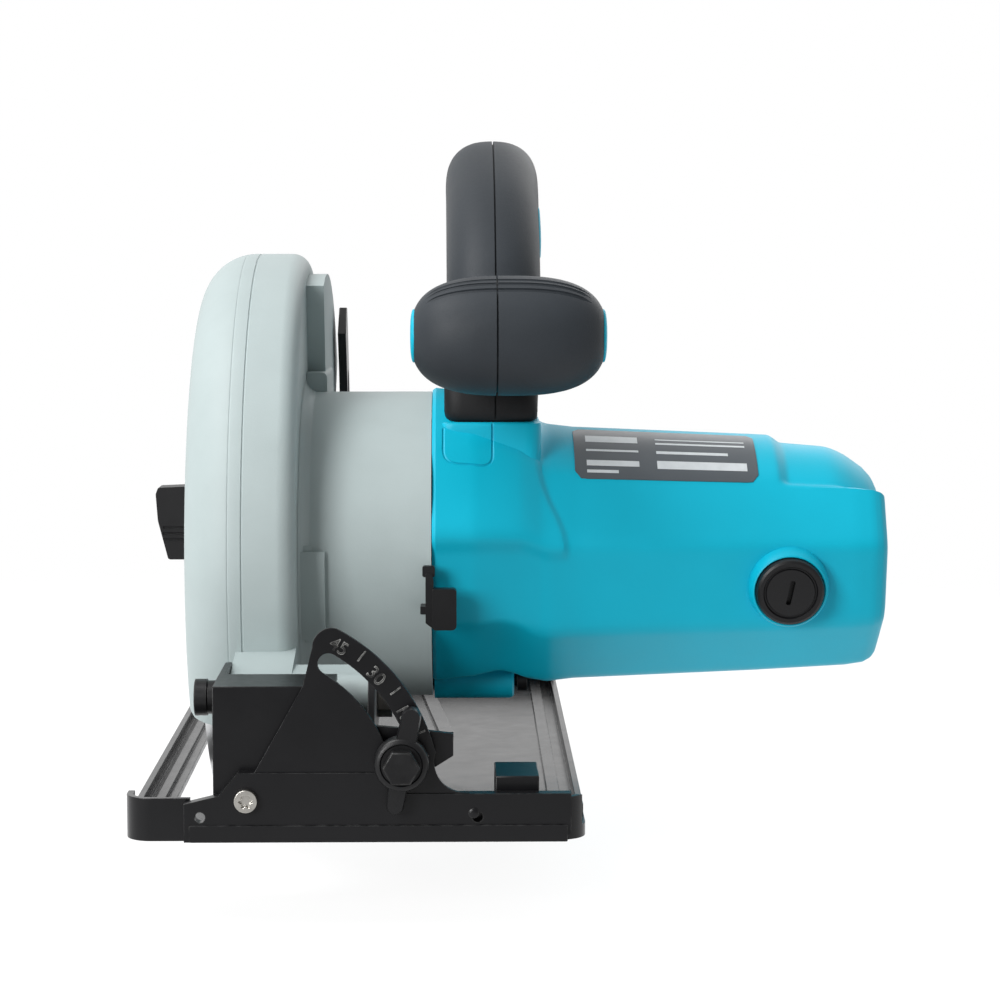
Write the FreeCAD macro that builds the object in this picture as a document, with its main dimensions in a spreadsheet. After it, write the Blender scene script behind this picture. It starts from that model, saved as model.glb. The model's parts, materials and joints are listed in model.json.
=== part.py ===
import FreeCAD, Part
import math
import os
import re
from types import SimpleNamespace
from FreeCAD import Placement, Rotation, Vector

# Circular saw, millimetres. +X points to the motor's end, +Y to the rear, +Z up.
# The origin is on the underside of the base, at its middle. The saw stands at a part
# depth of cut, so the blade and its guard reach through the base.

SIZES = {
    # base
    "base_wide": 138, "base_long": 280, "sheet": 2, "rim": 13, "side_rim": 6.4, "corner": 8,
    "way_left": 58.7, "way_right": 8, "way_front": 98, "way_rear": 118,
    # bevel axis, along Y
    "tilt_x": -32.3, "tilt_z": 13.2, "rivet_rad": 2.5, "clamp_reach": 47.6, "clamp_angle": 13.8,
    "bolt_rad": 3, "tilt_travel": 45,
    # depth axis, along X
    "depth_y": -105, "depth_z": 37.4, "pin_rad": 4, "guide_reach": 199.5, "guide_wide": 17,
    "guide_left": -13.3, "guide_thick": 3, "lock_angle": 14, "depth_down": 12.4, "depth_up": 12.6,
    # blade and guards
    "spindle_y": 15, "spindle_z": 71.7, "blade_x": -42, "blade_rad": 95, "blade_thick": 1.6,
    "blade_bore": 10, "teeth": 24, "guard_gap": 2, "guard_wall": 1.5, "case_gap": 1,
    "case_wall": 2.5, "case_left": -57.5, "case_right": -21, "case_round": 18, "case_window": 62,
    "case_shoulder": 6, "lever_reach": 23,
    # gears
    "module_size": 1.2, "pinion_teeth": 8, "gear_teeth": 42, "gear_left": 3, "gear_wide": 10,
    "spindle_rad": 6, "bearing_rad": 16, "spigot_rad": 22,
    # gear housing and motor
    "neck_rad": 52, "neck_rise": 3.3, "neck_right": 22, "neck_bore": 42, "collar_right": 51,
    "body_rad": 44.5, "body_end_rad": 38.5, "taper_x": 165, "motor_right": 174.5, "cap_rad": 28,
    "motor_wall": 3, "shaft_rad": 5, "core_rad": 25.7, "air_gap": 0.8, "brush_x": 139.7,
    "brush_angle": 10.5, "brush_cap_rad": 12,
    # handle
    "handle_left": 26.5, "handle_right": 59.5, "handle_split": 43, "pommel_left": 16,
    "pommel_right": 78, "pommel_rad": 19.5, "pommel_y": -80, "pommel_z": 147.5, "insert": 1.5,
    "cord_rad": 4.1, "gland_rad": 8.5,
    # clearances: fixed in one body, running on a shaft, free between bodies
    "snug": 0.02, "running": 0.05, "free": 0.3,
}

doc = FreeCAD.newDocument("circular_saw")
sheet = doc.addObject("Spreadsheet::Sheet", "Sizes")
for row, (alias, number) in enumerate(SIZES.items(), start=1):
    sheet.set(f"A{row}", alias)
    sheet.set(f"B{row}", str(number))
    sheet.setAlias(f"B{row}", alias)
doc.recompute()
S = SimpleNamespace(**{alias: float(sheet.get(alias)) for alias in SIZES})

MOTOR_Y = "(spindle_y - module_size * (pinion_teeth + gear_teeth) / 2)"
MOTOR = (MOTOR_Y, "spindle_z")
NECK = (MOTOR_Y, "spindle_z + neck_rise")
SPINDLE = ("spindle_y", "spindle_z")
DEPTH = ("depth_y", "depth_z")
TILT = ("tilt_x", "tilt_z")
motor_y = S.spindle_y - S.module_size * (S.pinion_teeth + S.gear_teeth) / 2
motor_z = S.spindle_z
guard_in = S.blade_rad + S.guard_gap
guard_out = guard_in + S.guard_wall
case_in = guard_out + S.case_gap
ALONG = {
    "X": Rotation(Vector(0, 1, 0), 90),
    "Y": Rotation(Vector(1, 0, 0), -90),
    "Z": Rotation(),
}
pieces = {}


# ---------------------------------------------------------------- makers
def linked(formula):
    """The formula with each size's name pointed at its cell in the sheet."""
    return re.sub(r"[a-z][a-z_]+", lambda m: "Sizes." + m[0] if m[0] in SIZES else m[0], str(formula))


def bind(obj, **formulas):
    for prop, formula in formulas.items():
        obj.setExpression(prop.replace("__", "."), linked(formula))
    return obj


def put(obj, x, y, z):
    return bind(obj, Placement__Base__x=x, Placement__Base__y=y, Placement__Base__z=z)


def box(name, x, y, z):
    """A box between two formulas along each axis."""
    obj = bind(
        doc.addObject("Part::Box", name),
        Length=f"({x[1]}) - ({x[0]})", Width=f"({y[1]}) - ({y[0]})", Height=f"({z[1]}) - ({z[0]})",
    )
    return put(obj, x[0], y[0], z[0])


def lie(obj, axis, start, centre):
    """Lay a piece made along Z along an axis, starting at start, about centre in the other two."""
    obj.Placement = Placement(Vector(), ALONG[axis])
    a, b = centre
    return put(obj, *{"X": (start, a, b), "Y": (a, start, b), "Z": (a, b, start)}[axis])


def rod(name, axis, rad, span, centre):
    obj = bind(doc.addObject("Part::Cylinder", name), Radius=rad, Height=f"({span[1]}) - ({span[0]})")
    return lie(obj, axis, span[0], centre)


def cone(name, axis, rad, end_rad, span, centre):
    obj = bind(
        doc.addObject("Part::Cone", name),
        Radius1=rad, Radius2=end_rad, Height=f"({span[1]}) - ({span[0]})",
    )
    return lie(obj, axis, span[0], centre)


def nut(name, axis, rad, span, centre):
    """A six-sided bar."""
    obj = bind(doc.addObject("Part::Prism", name), Circumradius=rad, Height=f"({span[1]}) - ({span[0]})")
    obj.Polygon = 6
    return lie(obj, axis, span[0], centre)


def fuse(name, *parts):
    obj = doc.addObject("Part::MultiFuse", name)
    obj.Shapes = list(parts)
    return obj


def cut(name, body, *tools):
    obj = doc.addObject("Part::Cut", name)
    obj.Base = body
    obj.Tool = tools[0] if len(tools) == 1 else fuse(name + "_tools", *tools)
    return obj


def rounded(name, body, rad, wanted):
    """Round the edges that wanted picks."""
    doc.recompute()
    edges = [i for i, edge in enumerate(body.Shape.Edges, start=1) if wanted(edge)]
    obj = doc.addObject("Part::Fillet", name)
    obj.Base = body
    obj.Edges = [(i, rad, rad) for i in edges]
    return obj


def upright(edge):
    return len(edge.Vertexes) == 2 and abs(edge.tangentAt(edge.FirstParameter).z) > 0.99


def shaped(name, shape):
    """A piece whose shape the calls below work out from the sheet's sizes."""
    obj = doc.addObject("Part::Feature", name)
    obj.Shape = shape
    return obj


def keep(name, obj):
    """Name an object as a finished piece of the saw."""
    obj.Label = name
    pieces[name] = obj
    return obj


def polar(centre, reach, degrees):
    angle = math.radians(degrees)
    return centre[0] + reach * math.cos(angle), centre[1] + reach * math.sin(angle)


def point(axis, pair, depth=0.0):
    a, b = pair
    return Vector(depth, a, b) if axis == "X" else Vector(a, depth, b)


def slab(axis, edges, low, high):
    """Extrude a closed outline, drawn at low, up to high along X or Y."""
    along = Vector(high - low, 0, 0) if axis == "X" else Vector(0, high - low, 0)
    return Part.Face(Part.Wire(edges)).extrude(along)


def flat(axis, points, low, high):
    corners = [point(axis, pair, low) for pair in points]
    return slab(axis, Part.makePolygon(corners + corners[:1]).Edges, low, high)


def loop(axis, points, low, high):
    """A slab whose outline is one smooth closed curve through the points."""
    curve = Part.BSplineCurve()
    curve.interpolate([point(axis, pair, low) for pair in points], PeriodicFlag=True)
    return slab(axis, [curve.toShape()], low, high)


def disc(axis, centre, rad, low, high):
    way = Vector(1, 0, 0) if axis == "X" else Vector(0, 1, 0)
    return Part.makeCylinder(rad, high - low, point(axis, centre, low), way)


def band(axis, centre, inner, outer, start, end, low, high, round_ends=False):
    """A stretch of ring between two radii and two angles, with square or round ends."""
    arc = []
    for rad in (inner, outer):
        way = [point(axis, polar(centre, rad, a), low) for a in (start, (start + end) / 2, end)]
        arc.append(Part.Arc(*way).toShape())
    ends = [
        Part.makeLine(point(axis, polar(centre, inner, a), low), point(axis, polar(centre, outer, a), low))
        for a in (start, end)
    ]
    ring = slab(axis, Part.__sortEdges__([arc[0], ends[1], arc[1], ends[0]]), low, high)
    if round_ends:
        middle, half = (inner + outer) / 2, (outer - inner) / 2
        for angle in (start, end):
            ring = ring.fuse(disc(axis, polar(centre, middle, angle), half, low, high))
        ring = ring.removeSplitter()
    return ring


# ---------------------------------------------------------------- base
def make_base():
    half, long_half = "base_wide / 2", "base_long / 2"
    tray = rounded(
        "tray", box("tray_block", (f"-{half}", half), (f"-{long_half}", long_half), (0, "rim")),
        S.corner, upright,
    )
    inside = box(
        "tray_inside", (f"sheet - {half}", f"{half} - sheet"),
        (f"sheet - {long_half}", f"{long_half} - sheet"), ("sheet", "rim + 1"),
    )
    hollow = rounded("tray_hollow", inside, S.corner - S.sheet, upright)
    way = box("blade_way", ("-way_left", "-way_right"), ("-way_front", "way_rear"), (-1, "sheet + 1"))
    way = rounded("blade_way_round", way, S.corner - S.sheet, upright)
    front = f"-{long_half}"
    bracket_gap = box(
        "bracket_gap", ("tilt_x - 17", "tilt_x + 45"), (f"{front} - 1", f"{front} + sheet + 1"),
        ("sheet", "rim + 1"),
    )
    rule_gap = box(
        "rule_gap", (f"{half} - sheet - 1", f"{half} + 1"), (f"{front} + 4", f"{front} + 21"),
        ("sheet + 2", "rim + 1"),
    )
    low_sides = [
        box(
            f"low_side_{side}", span, (f"corner + 4 - {long_half}", f"{long_half} - corner - 4"),
            ("side_rim", "rim + 1"),
        )
        for side, span in (
            ("left", (f"-{half} - 1", f"sheet + 1 - {half}")),
            ("right", (f"{half} - sheet - 1", f"{half} + 1")),
        )
    ]
    plate = cut("base_shell", tray, hollow, way, bracket_gap, rule_gap, *low_sides)
    ribs = [
        box("rib_right", (f"{half} - 10", f"{half} - 6"), (-100, 125), ("sheet", "sheet + 1.4")),
        box("rib_left", ("1 - way_left - 7", "-way_left - 3"), (-105, 125), ("sheet", "sheet + 1.4")),
    ]
    slant = box("rib_slant", (24, 29), (15, 108), ("sheet", "sheet + 1.4"))
    slant.Placement = Placement(Vector(24, 15, S.sheet), Rotation(Vector(0, 0, 1), 5))
    keep("base_plate", fuse("base_plate", plate, slant, *ribs))

    face = -S.base_long / 2
    tilt = (S.tilt_x, S.tilt_z)
    mount = flat("Y", [
        (-50.8, 0.5), (-50.8, 12), (-40.4, 14.5), (-34.7, 21.4), (8, 21.4), (14, 15), (64.3, 15),
        (64.3, 3), (60, 0.5),
    ], face - S.sheet, face)
    for x in (-46, 36.4):
        mount = mount.cut(disc("Y", (x, 8), 1.6, face - 5, face + 5))
    mount = mount.cut(disc("Y", tilt, S.rivet_rad + S.snug, face - 5, face + 5))
    keep("front_bevel_mount", shaped("front_bevel_mount", mount))

    reach = S.clamp_reach + 10.4
    top = polar(tilt, reach, 62)
    low_end = polar(tilt, reach, 14)
    corners = [(34, 15.2), (34, 4.5), (-39, 4.5), (-39, 16), (-30, 21), (-15.3, 47.1), (-12.4, 58.8)]
    corners = [point("Y", pair, face - 2 * S.sheet) for pair in corners]
    start, end = (point("Y", pair, face - 2 * S.sheet) for pair in (top, low_end))
    middle = point("Y", polar(tilt, reach, 38), face - 2 * S.sheet)
    crown = point("Y", (-10.2, 63.4), face - 2 * S.sheet)
    hollow_edge = point("Y", (25.6, 18.6), face - 2 * S.sheet)
    edges = [
        Part.Arc(start, middle, end).toShape(), Part.Arc(end, hollow_edge, corners[0]).toShape(),
        *[Part.makeLine(a, b) for a, b in zip(corners, corners[1:])],
        Part.Arc(corners[-1], crown, start).toShape(),
    ]
    quadrant = slab("Y", edges, face - 2 * S.sheet, face - S.sheet)
    half_slot = S.bolt_rad + 0.2
    quadrant = quadrant.cut(band(
        "Y", tilt, S.clamp_reach - half_slot, S.clamp_reach + half_slot, S.clamp_angle,
        S.clamp_angle + S.tilt_travel, face - 9, face + 5, round_ends=True,
    ))
    quadrant = quadrant.cut(disc("Y", tilt, S.rivet_rad + S.snug, face - 9, face + 5))
    for x in (-46 + 9, 30):
        quadrant = quadrant.cut(disc("Y", (x, 8), 1.6, face - 9, face + 5))
    keep("bevel_scale_plate", shaped("bevel_scale_plate", quadrant))

    shanks = fuse(
        "front_pivot_rivet",
        rod("rivet_head", "Y", 3.4, (f"{front} - 2 * sheet - 2.4", f"{front} - 2 * sheet"), TILT),
        rod("rivet_shank", "Y", "rivet_rad", (f"{front} - 2 * sheet", f"{front} + 6"), TILT),
        rod("rivet_tail", "Y", 4.5, (f"{front} + free + 2.8", f"{front} + 6"), TILT),
    )
    keep("front_pivot_rivet", shanks)

    bridge = cut(
        "guide_bridge",
        box("bridge_block", (41.7, 54.9), (f"{front} + sheet", f"{front} + 24"), ("sheet", 19)),
        box("bridge_way", (40, 56), (f"{front} + 4", f"{front} + 22"), (0, 17)),
    )
    keep("guide_bridge", bridge)

    rear_low, rear_high = f"{long_half} - 13.2", f"{long_half} - 11.2"
    ear = box("rear_ear", ("tilt_x - 13", "tilt_x + 13"), (rear_low, rear_high), ("sheet", "tilt_z + 9"))
    foot = box(
        "rear_foot", ("tilt_x - 13", "tilt_x + 13"), (rear_low, f"{long_half} - 4"),
        ("sheet", "2 * sheet"),
    )
    hole = rod("rear_ear_hole", "Y", "rivet_rad + snug", (f"{rear_low} - 1", f"{rear_high} + 1"), TILT)
    keep("rear_bevel_mount", cut("rear_bevel_mount", fuse("rear_mount_block", ear, foot), hole))
    keep("rear_pivot_rivet", fuse(
        "rear_pivot_rivet",
        rod("rear_rivet_head", "Y", 4.5, (rear_high, f"{rear_high} + 2.4"), TILT),
        rod("rear_rivet_shank", "Y", "rivet_rad", (f"{rear_low} - 5.4", rear_high), TILT),
        rod("rear_rivet_tail", "Y", 4.5, (f"{rear_low} - 5.4", f"{rear_low} - 2 * free - 2.5"), TILT),
    ))


# ---------------------------------------------------------------- parts that bevel
def make_tilting_parts():
    face = -S.base_long / 2
    low, high = face + S.free, face + S.free + 2.5
    tilt, depth = (S.tilt_x, S.tilt_z), (S.depth_y, S.depth_z)
    left, right, top = S.tilt_x - 10.1, S.tilt_x + 38.1, S.depth_z + 9.2
    clamp = polar(tilt, S.clamp_reach, S.clamp_angle)
    ear_back = S.depth_y + 11
    bracket = flat("Y", [
        (left, 9), (left, top), (right - 12, top), (right, top - 12), (clamp[0] + 4, clamp[1] + 9),
        (clamp[0] + 15.3, clamp[1] + 7.6), (clamp[0] + 15.3, clamp[1] + 1), (clamp[0] + 9, clamp[1] - 3),
        (clamp[0], clamp[1] - 9), (S.tilt_x + 12, 9), (S.tilt_x, 4.5),
    ], low, high)
    for side in (left, right - 2.2):
        wall = flat("X", [
            (low, 26), (low, top - 12), (high + 6, top), (ear_back, top), (ear_back, 29), (-112, 26),
        ], side, side + 2.2)
        bracket = bracket.fuse(wall)
    bracket = bracket.fuse(flat("X", [
        (high, top - 2), (high, top), (S.depth_y - 12, top), (S.depth_y - 12, top - 2),
    ], left, right - 12))
    bracket = bracket.cut(disc("X", depth, S.pin_rad + S.snug, left - 1, right + 1))
    bracket = bracket.cut(disc("Y", tilt, S.rivet_rad + S.running, low - 1, high + 1))
    bracket = bracket.cut(disc("Y", clamp, S.bolt_rad + S.running, low - 1, high + 1)).removeSplitter()
    keep("front_tilt_bracket", shaped("front_tilt_bracket", bracket))

    pin = fuse(
        "depth_pivot_pin",
        rod("pin_shank", "X", "pin_rad", ("tilt_x - 10.1", "tilt_x + 43.6"), DEPTH),
        rod("pin_collar", "X", 5.2, ("tilt_x - 14.6", "tilt_x - 10.1"), DEPTH),
        rod("pin_head", "X", 5.7, ("tilt_x - 18.6", "tilt_x - 14.6"), DEPTH),
    )
    keep("depth_pivot_pin", pin)
    keep("depth_pivot_nut", cut(
        "depth_pivot_nut", nut("pin_nut_bar", "X", 6.5, ("tilt_x + 38.1", "tilt_x + 42.6"), DEPTH),
        rod("pin_nut_bore", "X", "pin_rad + snug", ("tilt_x + 37", "tilt_x + 44"), DEPTH),
    ))
    clamp_at = ("tilt_x + clamp_reach * cos(clamp_angle)", "tilt_z + clamp_reach * sin(clamp_angle)")
    back = "-base_long / 2 + free + 2.5"
    keep("bevel_clamp_nut", cut(
        "bevel_clamp_nut", nut("clamp_nut_bar", "Y", 5.6, (back, f"{back} + 5"), clamp_at),
        rod("clamp_nut_bore", "Y", "bolt_rad + running", (f"{back} - 1", f"{back} + 6"), clamp_at),
    ))

    guide_right = S.guide_left + S.guide_thick
    inner, outer = S.guide_reach - S.guide_wide / 2, S.guide_reach + S.guide_wide / 2
    guide = band("X", depth, inner, outer, -7, 34, S.guide_left, guide_right)
    half_slot = S.bolt_rad + S.free
    guide = guide.cut(band(
        "X", depth, S.guide_reach - half_slot, S.guide_reach + half_slot,
        S.lock_angle - S.depth_down, S.lock_angle + S.depth_up, S.guide_left - 1, guide_right + 1,
        round_ends=True,
    ))
    rivets = [polar(depth, S.guide_reach, angle) for angle in (-5.6, -2.7)]
    for centre in rivets:
        guide = guide.cut(disc("X", centre, 2 + S.snug, S.guide_left - 1, guide_right + 1))
    keep("depth_guide", shaped("depth_guide", guide))

    rear = S.base_long / 2 - 13.2 - S.free
    plate = flat("Y", [
        (S.tilt_x - 9, 7), (S.tilt_x - 9, 30), (S.tilt_x - 3, 33), (guide_right + 2.5, 33),
        (guide_right + 2.5, 14), (S.tilt_x + 6, 7), (S.tilt_x, 4.5),
    ], rear - 2.5, rear)
    plate = plate.fuse(flat("X", [
        (rear, 33), (inner + S.depth_y - 4, 33), (inner + S.depth_y - 4, 14), (rear, 14),
    ], guide_right, guide_right + 2.5))
    plate = plate.cut(disc("Y", tilt, S.rivet_rad + S.running, rear - 4, rear + 1))
    for centre in rivets:
        plate = plate.cut(disc("X", centre, 2 + S.snug, guide_right - 1, guide_right + 4))
    keep("rear_tilt_plate", shaped("rear_tilt_plate", plate.removeSplitter()))
    heads = []
    for centre in rivets:
        heads.append(disc("X", centre, 2, S.guide_left - 1.2, guide_right + 4.2).fuse(
            [disc("X", centre, 3.6, S.guide_left - 1.2, S.guide_left),
             disc("X", centre, 3.6, guide_right + 2.5, guide_right + 4.2)]).removeSplitter())
    keep("depth_guide_rivets", shaped("depth_guide_rivets", Part.makeCompound(heads)))

    front = "-base_long / 2 - 2 * sheet"
    keep("bevel_clamp_bolt", fuse(
        "bevel_clamp_bolt", nut("clamp_head", "Y", 5.6, (f"{front} - 10.6", f"{front} - 6.2"), clamp_at),
        rod("clamp_shank", "Y", "bolt_rad", (f"{front} - 6.2", f"{back} + 7"), clamp_at),
    ))
    hub_low, hub_high = face - 2 * S.sheet - 6.2, face - 2 * S.sheet - 0.2
    hub = disc("Y", clamp, 8.25, hub_low, hub_high)
    for angle in (68, 262):
        tip = polar(clamp, 19, angle)
        across = [polar(centre, 3.2, angle + turn) for centre, turn in
                  ((clamp, -90), (clamp, 90), (tip, 90), (tip, -90))]
        hub = hub.fuse([
            flat("Y", across, hub_low + 1, hub_high - 1), disc("Y", tip, 4.2, hub_low, hub_high - 1),
        ])
    hub = hub.cut(disc("Y", clamp, S.bolt_rad + S.snug, hub_low - 1, hub_high + 1)).removeSplitter()
    keep("bevel_clamp_lever", shaped("bevel_clamp_lever", hub))


# ---------------------------------------------------------------- blade case and guard
def make_case():
    case_out = case_in + S.case_wall
    spindle, depth = (S.spindle_y, S.spindle_z), (S.depth_y, S.depth_z)

    def rounded_disc(rad, low, high, round_rad, shoulder=0):
        drum = disc("X", spindle, rad, low, high)
        for place, size in ((low, round_rad), (high, shoulder)):
            rims = [e for e in drum.Edges if len(e.Vertexes) == 1 and abs(e.CenterOfMass.x - place) < 0.01]
            rims = [e for e in rims if e.Curve.Radius > rad - 0.01]
            drum = drum.makeFillet(size, rims) if size else drum
        return drum

    shell = rounded_disc(case_out, S.case_left, S.case_right, S.case_round, S.case_shoulder)
    hollow = rounded_disc(
        case_in, S.case_left + S.case_wall, S.case_right - 3, S.case_round - S.case_wall)
    duct = band("X", spindle, 50, case_out - 7, 40, 106, S.case_right - 1, S.guide_left - 1.7)
    barrel = disc("X", depth, 7, S.tilt_x - 7.7, S.tilt_x + 35.7)
    web = flat("X", [
        (S.depth_y, S.depth_z + 6.9), (S.depth_y, S.depth_z - 6.9),
        (S.spindle_y - case_out + 8, S.depth_z - 6), (S.spindle_y - case_out + 8, S.depth_z + 12),
    ], S.tilt_x - 7.7, S.case_right)
    wing = flat("X", [
        (S.depth_y, S.depth_z + 6.9), (S.depth_y, S.depth_z - 6.9), (S.depth_y + 13, S.depth_z - 6),
        (S.depth_y + 13, S.depth_z + 8),
    ], S.case_right, S.tilt_x + 35.7)
    lock = polar(depth, S.guide_reach, S.lock_angle)
    boss = disc("X", lock, 8, S.case_right - 1, S.guide_left - 0.3)
    neck_seat = disc("X", (motor_y, motor_z + S.neck_rise), S.neck_rad + S.snug, S.case_right, S.neck_right)
    case = shell.fuse([duct.cut(neck_seat), barrel, web, wing, boss]).cut(hollow)
    case = case.cut(disc("X", spindle, S.case_window, S.case_left - 1, S.case_left + S.case_wall + 1))
    case = case.cut(disc("X", spindle, S.spigot_rad + S.snug, S.case_right - 5, S.case_right + 1))
    low_line = flat("X", [(-86, 19.3), (160, 68.5), (160, -90), (-86, -90)], S.case_left - 5, S.guide_left)
    case = case.cut(low_line)
    relief = flat("Y", [
        (S.tilt_x - 60, S.tilt_z + 47.5), (S.tilt_x, S.tilt_z - 12.5), (S.tilt_x - 60, S.tilt_z - 12.5),
    ], -150, 0)
    case = case.cut(relief)
    case = case.cut(disc("X", depth, S.pin_rad + S.running, S.tilt_x - 9, S.tilt_x + 37))
    case = case.cut(disc("X", lock, S.bolt_rad + S.snug, S.case_right - 5, S.guide_left + 1))
    chip_hole = band("X", spindle, 60, case_out - 12, 50, 100, S.case_right - 5, S.guide_left - 4.2)
    case = case.cut(chip_hole)
    chip_exit = flat(
        "X", [(76, 110), (110, 110), (110, 135), (56, 150)], S.case_right + 0.5, S.guide_left - 4.2)
    case = case.cut(chip_exit).removeSplitter()
    keep("blade_case", shaped("blade_case", case))

    left, right = S.case_left + S.case_wall + 2, S.case_right - 5
    guard_round = S.case_round - S.case_wall - 1.5
    cup = rounded_disc(guard_out, left, right, guard_round)
    cup = cup.cut(rounded_disc(
        guard_in, left + S.guard_wall, right - S.guard_wall, guard_round - S.guard_wall))
    cup = cup.common(band("X", spindle, 30, guard_out + 5, 192, 388, left - 1, right + 1))
    hub = disc("X", spindle, 34, right - S.guard_wall, right)
    guard = cup.fuse(hub).cut(disc("X", spindle, S.spigot_rad + S.running, right - 9, right + 1))
    grip = (S.spindle_y + 42, S.spindle_z + 5)
    guard = guard.cut(disc("X", grip, 2 + S.snug, left - 1, left + S.guard_wall + 1)).removeSplitter()
    keep("lower_guard", shaped("lower_guard", guard))
    lever = flat("X", [
        (grip[0] - 9, grip[1] + 12), (grip[0] + 9, grip[1] + 12), (grip[0] + 7, grip[1] - 13),
        (grip[0] - 7, grip[1] - 13),
    ], left - 3, left)
    lever = lever.fuse(flat("X", [
        (grip[0] - 5, grip[1] + 12), (grip[0] + 5, grip[1] + 12), (grip[0] + 3, grip[1] - 13),
        (grip[0] - 3, grip[1] - 13),
    ], S.case_left - S.lever_reach, left - 3)).cut(disc("X", grip, 2 + S.snug, left - 8, left + 1))
    keep("guard_lever", shaped("guard_lever", lever.removeSplitter()))
    screw = disc("X", grip, 2, left - 6, left + S.guard_wall + 1.5)
    screw = screw.fuse(disc("X", grip, 4, left + S.guard_wall, left + S.guard_wall + 1.5))
    keep("guard_lever_screw", shaped("guard_lever_screw", screw.removeSplitter()))

    ring_left = "case_right - 5 - guard_wall - 1.4"
    keep("guard_snap_ring", cut(
        "guard_snap_ring",
        rod("snap_disc", "X", "spigot_rad + 3", (ring_left, f"{ring_left} + 1.2"), SPINDLE),
        rod("snap_bore", "X", "spigot_rad + snug", (f"{ring_left} - 1", f"{ring_left} + 3"), SPINDLE),
    ))
    spring = bind(doc.addObject("Part::Torus", "guard_spring"), Radius1="spigot_rad + 2", Radius2=0.75)
    keep("guard_spring", lie(spring, "X", "case_right - 4", SPINDLE))


# ---------------------------------------------------------------- gears
def involute_gear(teeth, shift, thin, low, high, centre, turned):
    """A spur gear with involute flanks. shift moves the cutter out, in modules; thin is backlash."""
    pitch = S.module_size * teeth / 2
    pressure = math.radians(20)
    base = pitch * math.cos(pressure)
    tip = pitch + S.module_size * (1 + shift)
    root = pitch - S.module_size * (1.25 - shift)
    half = math.pi / (2 * teeth) + 2 * shift * math.tan(pressure) / teeth - thin / (2 * pitch)

    def flank_angle(rad):
        turn = math.acos(min(1.0, base / rad))
        return half + (math.tan(pressure) - pressure) - (math.tan(turn) - turn)

    foot = max(root, base)
    flank = [foot + (tip - foot) * step / 4 for step in range(5)]
    right = [(rad, -flank_angle(rad)) for rad in flank]
    left = [(rad, flank_angle(rad)) for rad in reversed(flank)]
    profile = right + left
    if root < base:
        profile = [(root, -flank_angle(foot))] + profile + [(root, flank_angle(foot))]
    outline = []
    for tooth in range(int(teeth)):
        spin = math.radians(turned) + 2 * math.pi * tooth / teeth
        outline += [polar(centre, rad, math.degrees(spin + angle)) for rad, angle in profile]
    return flat("X", outline, low, high)


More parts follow.
